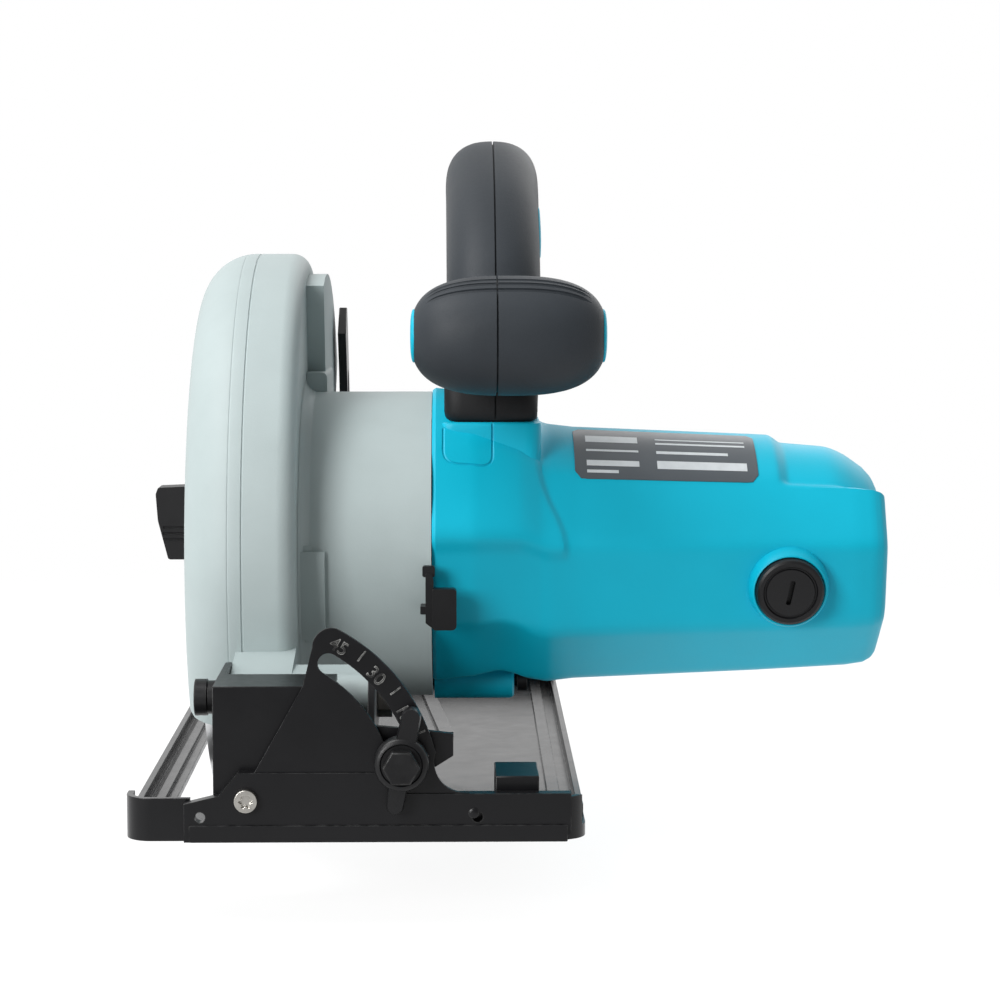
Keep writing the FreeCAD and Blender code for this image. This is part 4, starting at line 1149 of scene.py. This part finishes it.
    def brush_line(self, sign: int) -> tuple[Triple, Triple]:
        """The brush line's origin, and the way to one of its ends, by sign."""
        turn = math.radians(self.brush_turn if sign > 0 else self.brush_turn - 180)
        return (self.brush_x, *self.axis), (0, -math.sin(turn), math.cos(turn))

    def collar(self, sign: int) -> Piece:
        """A ring standing off the body round one brush cap, turned about the brush line."""
        return Piece.peg("collar", self.collar_profile, 56, *self.brush_line(sign))

    def pad_groove(self) -> Piece:
        """The line round the pad under the handle's foot, sunk into the collar.

        Returns:
            The cutter.
        """
        left, low, right, high = self.pad_box
        corners = np.array([(left, low), (left, high), (right, high), (right, low)])
        bends = rounded_loop(corners, (0.5, 5, 5, 0.5), 9)[9:27]
        line = np.vstack([corners[:1], bends, corners[3:]])
        length = np.concatenate([[0], np.cumsum(np.linalg.norm(np.diff(line, axis=0), axis=1))])
        even = spread(0, length[-1], 60)
        place, turn = (np.interp(even, length, line[:, column]) for column in (0, 1))
        points = self.point(place, turn, 0.1)
        points[:, 1] = np.minimum(points[:, 1], self.seat_box[1] + 0.1)
        return Piece.tube("line", points, 0.55)

    def seat(self) -> Piece:
        """The block under the handle's foot, with a rounded upper edge.

        Returns:
            The block.
        """
        left, low, right, high = self.seat_box
        rings = [rounded_loop(rectangle(left + inset, low + inset, right - inset, high), (5, 5, 1, 1))
                 for inset in (0.0, 0.0, 0.25, 0.9)]
        return Piece.surface("seat", stacked(rings, (98.0, 117.6, 118.3, 118.7), Axis.Z))

    def shell(self) -> None:
        """The housing: rings on the radius formula, hollowed, with its vents and bosses."""
        spans = ((22.2, 24, 4), (24, 50, 14), (50, 70, 22), (70, 134, 24), (134, 143, 12),
                 (143, 169, 14))
        rim = [169.8, 170.6, 171.3, 171.9, 172.4, 172.8, 173.1, 173.4, 173.6]
        place = np.unique(np.concatenate([*(spread(*span) for span in spans), rim]))
        piece = Piece.surface("motor_shell",
                              self.point(place[:, None], spread(0, 360, 289)[None, :-1]))
        bosses = [Piece.turned("boss", self.boss, at, 40) for at in self.screws]
        piece.combine(Merge.JOIN, [self.seat(), *bosses, self.collar(1), self.collar(-1)])
        piece.combine(Merge.CUT, [Piece.turned("hollow", self.hollow, self.axis, 72),
                                  self.vents(), self.pad_groove()])
        piece.smooth(28).done("saw", "teal_plastic", replaces=("motor_housing",))

    def label(self) -> None:
        """The label: a thin film with rounded corners, and light bars for its words."""
        corner = self.label_corner
        rows = spread(*self.label_places, 33)
        ends = np.minimum(rows - rows[0], rows[-1] - rows)
        cut = 1.3 * np.where(ends < corner, corner - np.sqrt(np.maximum(
            corner ** 2 - (corner - ends) ** 2, 0)), 0)
        low, high = self.label_turns
        turn = (low + high) / 2 + spread(-1, 1, 25)[None] * ((high - low) / 2 - cut[:, None])
        film = self.skin("label_plate_film", rows[:, None], turn, 0.35, 0.6)
        film.smooth(30).done("saw", "label_film", replaces=("label_plate",))
        marks = [self.skin("patch", spread(*places, 12)[:, None], spread(*turns, 9)[None], 0.42, 0.25)
                 for places, turns in self.bars]
        Piece.joined("label_marks", marks).done("saw", "label_film", "label_ink")

    def caps(self) -> None:
        """The two slotted brush caps, each turned about the brush line and cut across."""
        made = []
        for sign in (1, -1):
            cap = Piece.turned("cap", self.cap_profile, (0, 0))
            slot = rounded_loop(rectangle(-0.8, -4.2, 0.8, 4.2), 0.7, 5)
            cap.combine(Merge.CUT, [Piece.slab("slot", slot, 43.4, 50)])
            made.append(cap.moved(*self.brush_line(sign)))
        piece = Piece.joined("brush_cap_pair", made)
        piece.bevel(0.25).smooth(30).done("saw", "black_plastic", replaces=("brush_caps",))

    def build(self) -> None:
        """All of the motor's outside."""
        self.shell()
        self.label()
        self.caps()


# ---------------------------------------------------------------- blade case

@dataclass
class BladeCase:
    """The cast blade case and gear housing, with their casting lines and pads."""

    spindle: Pair = (15.0, 71.7)
    neck: Pair = (-15.0, 75.0)
    wall: float = -20.9
    rim: float = 102.0
    seams: Pair = (-42.3, -37.8)
    fillet_size: float = 4.5
    fillet_start: float = 51.9
    lock_bore: Triple = (16.6, -65.8, 59.7)

    def seam(self, place: float) -> Piece:
        """A thin round cutter along the rim: a small circle carried round the spindle."""
        ring = np.asarray(self.spindle) + self.rim * circle(around(180))
        return Piece.tube("seam", np.insert(ring, 0, place, 1), 0.4, True)

    def case(self) -> None:
        """The case: the frame's shape with the parting lines sunk into its rim."""
        foot = rounded_loop(rectangle(self.wall, 122, -13.9, 133.5), (0.2, 0.2, 2, 0.2))
        piece = Piece.copy_of("case_shell", "blade_case")
        piece.combine(Merge.CUT, [self.seam(place) for place in self.seams])
        piece.combine(Merge.JOIN, [Piece.slab("foot", foot, -14, 30, Axis.Y)])
        piece.bevel(0.7, 2, 30).smooth(32).done("saw", "case_grey", replaces=("blade_case",))

    def gear_housing(self) -> None:
        """The gear housing with the pad and rib on its front, and its lock pin's bore plugged."""
        piece = Piece.copy_of("gear_neck", "gear_housing")
        pad = Piece.slab("pad", arc_band(self.neck, 46, 54.2, 176.5, 209), self.wall, -12.4)
        edge = Piece.slab("edge", arc_band(self.neck, 46, 53.0, 174.5, 211), self.wall, -16.5)
        root = Piece.surface("root", self.fillet(), False).merged()
        cover = Piece.peg("cover", [(0, 3.2), (3.4, 3.2)], 32, self.lock_bore, (0, 1, 0))
        form = Piece.peg("round_form", [(0, 52.0), (12, 52.0)], 180, (10, *self.neck), (1, 0, 0))
        cover.combine(Merge.KEEP, [form])
        piece.combine(Merge.JOIN, [pad, edge, cover])
        piece.add([root])
        piece.bevel(0.8, 2, 35).smooth(40).done("saw", "case_grey", replaces=("gear_housing",))

    def fillet(self) -> Array:
        """The hollow fillet where neck meets case: a quarter circle turned about the neck.

        Returns:
            Its points by angle and place.
        """
        turn = spread(0, TURN, 97)
        bend = spread(0, math.pi / 2, 8)
        place = np.append(self.wall + self.fillet_size * (1 - np.sin(bend)), self.wall)
        reach = np.append(self.fillet_start + self.fillet_size * (1 - np.cos(bend)), 51.0)
        ring = np.asarray(self.neck) + reach[None, :, None] * circle(turn)[:, None]
        return np.insert(ring, 0, place, 2)

    def build(self) -> None:
        """Case and gear housing."""
        self.case()
        self.gear_housing()


# ---------------------------------------------------------------- base and bevel fittings

@dataclass
class BaseFittings:
    """The pressed base with its front and rear bevel brackets.

    Scale numbers and marks are in degrees, and clamp_wings are rows of (tip, radius there).
    """

    pivot: Pair = (-32.3, 13.2)
    nubs: tuple[Pair, ...] = ((-52, -131.5), (-38, -131.5), (-20, -131.5), (33, -131.5),
                              (60, -131.5), (-40, 128), (-25, 128))
    nub_profile: tuple[Pair, ...] = ((1.6, 3.1), (2.25, 2.9), (2.45, 2.2), (2.5, 0.6))
    scale_start: float = 13.8
    scale_reach: float = 53.6
    scale_face: float = -143.55
    numbers: tuple[int, ...] = (0, 15, 30, 45)
    number_size: float = 5.6
    marks: tuple[float, ...] = (7.5, 22.5, 37.5)
    mark_reach: float = 55.2
    mark_half: Pair = (1.9, 0.25)
    upstand: float = -144.12
    screw_place: Triple = (35.3, -144.0, 9.2)
    screw_profile: tuple[Pair, ...] = ((0.0, 1.5), (0.5, 1.5), (0.75, 1.1), (0.8, 0.3))
    clamp_middle: Pair = (13.9, 24.6)
    clamp_back: float = -144.3
    clamp_front: float = -150.0
    clamp_profile: tuple[Pair, ...] = (
        (0, 8.1), (4.2, 8.1), (4.9, 7.7), (5.3, 7.0), (5.4, 6.4), (4.9, 6.0), (4.9, 5.6))
    clamp_bore: float = 3.05
    clamp_wings: tuple[tuple[Pair, float], ...] = (((16.9, 38.6), 2.9), ((12.0, 12.2), 2.6))

    def base(self) -> None:
        """The base plate with its rolled edges and the nubs of its spot welds."""
        piece = Piece.copy_of("base_pressing", "base_plate")
        piece.combine(Merge.JOIN, [Piece.peg("nub", self.nub_profile, 24, (*at, 0), (0, 0, 1))
                                   for at in self.nubs])
        piece.bevel(0.45, 2, 35).smooth(34)
        piece.done("base", "black_enamel", "base_enamel", ("base_plate",))

    def flush(self, piece: Piece, low: float, high: float, to: float) -> None:
        """Moves a piece's points between two Y places to one Y place.

        Args:
            piece: the piece.
            low: the first place.
            high: the second.
            to: where the points go.
        """
        mesh = piece.object.data
        flat = np.empty(len(mesh.vertices) * 3)
        mesh.vertices.foreach_get("co", flat)
        points = flat.reshape(-1, 3) / MM
        points[(points[:, 1] > low) & (points[:, 1] < high), 1] = to
        mesh.vertices.foreach_set("co", (points * MM).ravel())
        mesh.update()

    def number(self, degrees: int) -> Piece:
        """A raised number whose foot points to the pivot, laid on the scale plate.

        Args:
            degrees: the number, which is its place along the scale too.

        Returns:
            The piece.
        """
        data = bpy.data.curves.new("glyph", "FONT")
        data.body, data.size, data.extrude = str(degrees), self.number_size * MM, 0.22 * MM
        data.align_x, data.align_y = "CENTER", "CENTER"
        data.offset = 0.05 * MM
        data.resolution_u = 3
        holder = bpy.data.objects.new("glyph", data)
        bpy.context.scene.collection.objects.link(holder)
        graph = bpy.context.evaluated_depsgraph_get()
        mesh = bpy.data.meshes.new_from_object(holder.evaluated_get(graph))
        bpy.data.objects.remove(holder)
        turn = math.radians(self.scale_start + degrees)
        place = (self.pivot[0] + self.scale_reach * math.cos(turn), self.scale_face - 0.1,
                 self.pivot[1] + self.scale_reach * math.sin(turn))
        lean = Matrix.Rotation(math.radians(90) - turn, 4, "Y")
        mesh.transform(Matrix.Translation(Vector(place) * MM) @ lean
                       @ Matrix.Rotation(math.pi / 2, 4, "X"))
        return Piece("glyph", mesh).merged()

    def mark(self, degrees: float) -> Piece:
        """A short raised line between two of the numbers, which points to the pivot.

        Args:
            degrees: its place along the scale.

        Returns:
            The line.
        """
        ahead = circle(np.radians(self.scale_start + degrees))
        middle, (long, wide) = np.array(self.pivot) + ahead * self.mark_reach, self.mark_half
        end, side = ahead * long, across(ahead) * wide
        outline = middle + np.array([end + side, end - side, -end - side, -end + side])
        return Piece.slab("mark", outline, self.scale_face - 0.3, self.scale_face + 0.2, Axis.Y)

    def scale(self) -> None:
        """The scale plate: the fan-shaped plate with its raised numbers and marks."""
        piece = Piece.copy_of("bevel_scale", "bevel_scale_plate")
        self.flush(piece, -144.5, -143, self.scale_face)
        piece.bevel(0.35).smooth(34).done("base", "black_enamel", replaces=("bevel_scale_plate",))
        raised = [*map(self.number, self.numbers), *map(self.mark, self.marks)]
        piece = Piece.joined("bevel_scale_marks", raised)
        # The numbers and marks get pale edges, a painted highlight that stands in for glints.
        piece.smooth(30).done("base", "black_enamel", "enamel_painted_glint")

    def mount(self) -> None:
        """The front mount: its upstand in front of the scale plate, with a folded hem."""
        piece = Piece.copy_of("front_mount", "front_bevel_mount")
        self.flush(piece, -142.5, -141.5, self.upstand)
        outline = rounded_loop(rectangle(-49.2, 0.6, 63.2, 5.6), 0.5, 4)
        hem = Piece.slab("hem", outline, -144.8, -143.6, Axis.Y)
        screw = Piece.peg("screw", self.screw_profile, 24, self.screw_place, (0, -1, 0))
        piece.combine(Merge.JOIN, [hem, screw])
        piece.bevel(0.3).smooth(34).done("base", "black_enamel", replaces=("front_bevel_mount",))

    def wing(self, tip: Pair, size: float) -> Piece:
        """A wing of the clamp's lever: it tapers from the hub to a half circle.

        Args:
            tip: the half circle's centre.
            size: its radius.

        Returns:
            The wing.
        """
        middle, centre = np.array(self.clamp_middle), np.array(tip)
        ahead = unit(centre - middle)
        aside = across(ahead)
        turn = np.radians(spread(-90, 90, 14))[:, None]
        end = centre + size * (np.cos(turn) * ahead + np.sin(turn) * aside)
        outline = np.vstack([middle - aside * 3.4, end, middle + aside * 3.4])
        rings = [centre + (outline - centre) * share for share in (0.86, 1.0, 1.0, 0.86)]
        places = (self.clamp_back, self.clamp_back - 0.8, self.clamp_front + 2.0,
                  self.clamp_front + 0.9)
        return Piece.surface("wing", stacked(rings, places, Axis.Y))

    def clamp_lever(self) -> None:
        """The clamp's winged hub: a ringed disc with two tapered wings."""
        line = (self.clamp_middle[0], self.clamp_back, self.clamp_middle[1]), (0, -1, 0)
        hub = Piece.peg("clamp_handle", self.clamp_profile, 64, *line)
        bore = [(-1.0, self.clamp_bore), (9.0, self.clamp_bore)]
        hub.combine(Merge.JOIN, [self.wing(*wing) for wing in self.clamp_wings])
        hub.combine(Merge.CUT, [Piece.peg("bore", bore, 32, *line)])
        hub.bevel(0.5, 3, 35).smooth(36).done("bevel_clamp", "black_plastic",
                                              replaces=("bevel_clamp_lever",))

    def rivet(self) -> None:
        """The front pivot screw, with a six-lobed recess: radius 1.75 + 0.35 cos 6t."""
        piece = Piece.copy_of("pivot_rivet", "front_pivot_rivet")
        turn = around(60)
        star = np.array(self.pivot) + (1.75 + 0.35 * np.cos(6 * turn))[:, None] * circle(turn)
        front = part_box("front_pivot_rivet")[0][1] / MM
        piece.combine(Merge.CUT, [Piece.slab("star", star, front - 1, front + 1.3, Axis.Y)])
        piece.bevel(0.25, 2, 40).smooth(34).done("base", "zinc_steel",
                                                 replaces=("front_pivot_rivet",))

    def build(self) -> None:
        """All of the base and its brackets."""
        self.base()
        self.mount()
        self.scale()
        for name, node, body, width in (("bracket_front", "front_tilt_bracket", "tilt", 0.5),
                                        ("bracket_rear", "rear_tilt_plate", "tilt", 0.5),
                                        ("mount_rear", "rear_bevel_mount", "base", 0.4),
                                        ("rule_bridge", "guide_bridge", "base", 0.4),
                                        ("depth_arc", "depth_guide", "tilt", 0.4)):
            rounded(name, node, body, "black_enamel", width)
        rounded("clamp_bolt", "bevel_clamp_bolt", "bevel_clamp", "black_steel", 0.45)
        self.clamp_lever()
        rounded("clamp_nut", "bevel_clamp_nut", "tilt", "zinc_steel", 0.35)
        rounded("pivot_pin", "depth_pivot_pin", "tilt", "black_steel", 0.5)
        rounded("pivot_nut", "depth_pivot_nut", "tilt", "zinc_steel", 0.35)
        self.rivet()


# ---------------------------------------------------------------- levers and buttons

@dataclass
class Controls:
    """What the hand works: guard lever, shaft lock, depth lever, trigger and lock button."""

    lever_middle: Pair = (57.0, 76.7)
    tongue_half: float = 5.2
    tongue_grooves: tuple[float, ...] = (-3.6, -5.8, -8.0)
    groove_radius: float = 0.5
    lock_pin: Pair = (16.6, 59.7)
    lock_pin_radius: float = 2.2
    lock_pin_start: float = 12.0

    def guard_lever(self) -> None:
        """The guard lever: a foot on the guard and a grooved finger that narrows downwards."""
        y, z = self.lever_middle
        half = self.tongue_half
        left, right = (corner[0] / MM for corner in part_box("guard_lever"))
        foot = [(y - 9, z + 11.6), (y + 9, z + 11.6), (y + 7, z - 12.6), (y - 7, z - 12.6)]
        side = [(right - 1, z + 12.2), (left + 0.9, z + 11.2), (left, z + 8.8), (left + 0.7, z - 1.0),
                (left + 4.4, z - 15.4), (right - 1, z - 15.4)]
        piece = Piece.slab("guard_tab", rounded_loop(foot, 3), right - 3, right)
        side = rounded_loop(side, (1, 0.9, 2, 9, 1.2, 1), 8)
        piece.combine(Merge.JOIN, [Piece.slab("tongue", side, y - half, y + half, Axis.Y)])
        along = spread(left + 2.6, right + 0.5, 12)
        lines = [np.stack([along, np.full(12, face), np.full(12, z + height)], -1)
                 for height in self.tongue_grooves for face in (y - half, y + half)]
        piece.combine(Merge.CUT, [Piece.tube("groove", line, self.groove_radius)
                                  for line in lines])
        piece.bevel(0.7, 3, 35).smooth(34).done("guard", "black_plastic",
                                                replaces=("guard_lever",))

    def shaft_lock(self) -> None:
        """The shaft lock: a thumb block on a bent strip, with its pin on a link."""
        front, back = (corner[1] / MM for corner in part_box("shaft_lock"))
        strip = np.array([(20.2, 55.6), (22.8, 53.6), (22.8, 68.8), (22.4, 71.6), (20.2, 71.6)])
        block, *others = [
            Piece.slab(name, rounded_loop(corners, radii, steps), front + start, front + end, Axis.Y)
            for name, corners, radii, steps, start, end in (
                ("shaft_button", rectangle(22.4, 53.4, 30.2, 66.8), (1.2, 1.8, 1.2, 0.8), 5, 0, 4.6),
                ("strip", strip, 0.5, 4, 1.2, 4.4),
                ("tab", rectangle(19.2, 70.4, 23.2, 74.0), 0.7, 4, 2.2, 5.0),
                ("link", rectangle(18.5, 58.4, 20.8, 61.0), 0.4, 4, 1.6, 13.0))]
        radius, start, (x, z) = self.lock_pin_radius, self.lock_pin_start, self.lock_pin
        pin = Piece.peg("pin", [(0, radius), (back - front - start - 0.1, radius)], 24,
                        (x, front + start, z), (0, 1, 0))
        block.combine(Merge.JOIN, [*others, pin])
        block.bevel(0.45, 3, 35).smooth(34).done("shaft_stop", "black_plastic",
                                                 replaces=("shaft_lock",))

    def build(self) -> None:
        """All of the controls."""
        self.guard_lever()
        self.shaft_lock()
        for row in (("depth_handle", "depth_lever", "depth_lock", "black_plastic", 0.9),
                    ("trigger_key", "trigger", "trigger_key", "black_plastic", 1.6),
                    ("lock_button", "lock_off_button", "lock_off", "black_plastic", 0.9),
                    ("guard_cup", "lower_guard", "guard", "guard_aluminium", 0.4),
                    ("cord_sleeve", "cord_gland", "saw", "gland_rubber", 0.6),
                    ("blade_screw", "blade_bolt", "blade_drive", "black_steel", 0.4)):
            rounded(*row, steps=3)


GROUPS: tuple[type, ...] = (Handle, MotorHousing, BladeCase, BaseFittings, Controls)


# ---------------------------------------------------------------- studio

@dataclass
class Studio:
    """Floor, lights and camera. Places are in metres, and powers in watts.

    The lamps are rows of (name, place, point that it faces, side, power).
    """

    floor_reach: float = 0.8
    floor_glow: float = 0.8
    floor_cover: float = 0.42
    floor_fade: Pair = (0.24, 0.72)
    camera_place: Triple = (0.0308, -0.910, 0.1785)
    pitch: float = -5.66
    yaw: float = -0.917
    lens: float = 94.4
    dim: float = 0.20
    bright: float = 1.0
    lamps: tuple[tuple[str, Triple, Triple, float, float], ...] = (
        ("top", (-0.75, -0.40, 1.35), (0.03, 0, 0.08), 0.8, 15),
        ("front", (-1.0, -1.45, 0.6), (0.0, 0, 0.08), 0.7, 21),
        ("rear", (0.7, 1.4, 0.9), (0.03, 0, 0.08), 1.0, 5))

    def floor(self) -> None:
        """A flat round floor just under the lowest point: rings of points about the middle."""
        low = CAD_BOX[0][2] / MM - 0.3
        reach = np.geomspace(0.02, self.floor_reach, 14) / MM
        grid = reach[:, None, None] * np.append(circle(around(72)), np.zeros((72, 1)), 1)
        faces = grid_faces(*grid.shape[:2], False)
        points = np.vstack([grid.reshape(-1, 3), [0, 0, 0]]) + np.array([0, 0, low])
        here = np.arange(72)
        faces += np.stack([np.roll(here, -1), here, np.full(72, len(points) - 1)], -1).tolist()
        piece = Piece.of_points("floor", points, faces)
        shape = piece.object.data
        if shape.polygons[0].normal.z < 0:
            shape.flip_normals()
        shade = Shade("floor_white")
        where = shade.place()
        reach_of = shade.node("ShaderNodeVectorMath", {"operation": "LENGTH"}, {0: where}, "Value")
        colour = shade.mix(shade.noise(where, 300.0), (0.44, 0.44, 0.44), (0.46, 0.46, 0.46))
        shade.feed({"Base Color": colour, "Roughness": 0.9, "Specular IOR Level": 0.1,
                    "Emission Color": (1.0, 1.0, 1.0), "Emission Strength": self.floor_glow,
                    "Alpha": (1.0 - reach_of.band(*self.floor_fade)) * self.floor_cover})
        shape.materials.append(shade.material)

    def lamp(self, name: str, place: Triple, aim: Triple, size: float, power: float) -> None:
        """A square soft light.

        Args:
            name: its name.
            place: where it is.
            aim: the point it faces.
            size: its side.
            power: watts.
        """
        data = bpy.data.lights.new(name, "AREA")
        data.size, data.energy = size, power
        lamp = bpy.data.objects.new(name, data)
        lamp.location = place
        lamp.rotation_euler = (Vector(aim) - Vector(place)).to_track_quat("-Z", "Y").to_euler()
        bpy.context.scene.collection.objects.link(lamp)

    def light(self) -> None:
        """A room that brightens from front to rear, white as seen itself, and the lamps."""
        bpy.context.scene.view_settings.view_transform = "Standard"
        world = bpy.data.worlds.new("room")
        bpy.context.scene.world = world
        world.use_nodes = True
        tree = world.node_tree
        ground = tree.nodes["Background"]
        facing, parts, share, seen, pick = (tree.nodes.new("ShaderNode" + kind) for kind in (
            "TexCoord", "SeparateXYZ", "MapRange", "LightPath", "Mix"))
        for name, value in (("From Min", -0.9), ("From Max", 0.9), ("To Min", self.dim),
                            ("To Max", self.bright)):
            share.inputs[name].default_value = value
        pick.inputs[3].default_value = 1.0
        for start, end in ((facing.outputs["Generated"], parts.inputs[0]),
                           (parts.outputs["Y"], share.inputs["Value"]),
                           (share.outputs[0], pick.inputs[2]),
                           (seen.outputs["Is Camera Ray"], pick.inputs[0]),
                           (pick.outputs[0], ground.inputs["Strength"])):
            tree.links.new(start, end)
        ground.inputs["Color"].default_value = (1, 1, 1, 1)
        for lamp in self.lamps:
            self.lamp(*lamp)

    def camera(self) -> None:
        """The camera, level but for its pitch."""
        data = bpy.data.cameras.new("camera")
        data.lens, data.sensor_width = self.lens, 36
        data.clip_start, data.clip_end = 0.01, 50
        camera = bpy.data.objects.new("camera", data)
        camera.location = self.camera_place
        camera.rotation_euler = (math.radians(90 + self.pitch), 0, math.radians(self.yaw))
        bpy.context.scene.collection.objects.link(camera)
        bpy.context.scene.camera = camera

    def build(self) -> None:
        """Everything that isn't the object."""
        self.floor()
        self.light()
        self.camera()


def dress_nodes() -> None:
    """Gives every frame node the finish of its material slot."""
    for part in frame["record"]["subparts"]:
        node = frame["nodes"][part["node"]]
        node.data.materials.clear()
        node.data.materials.append(MATERIALS[part["material_slot"]])


def main() -> None:
    """Builds the sub-assemblies in order, then the studio."""
    logging.basicConfig(level=logging.INFO, format="%(message)s")
    dress_nodes()
    for group in GROUPS:
        log.info("-- %s", group.__name__)
        group().build()
    Studio().build()


if __name__ == "__main__":
    main()
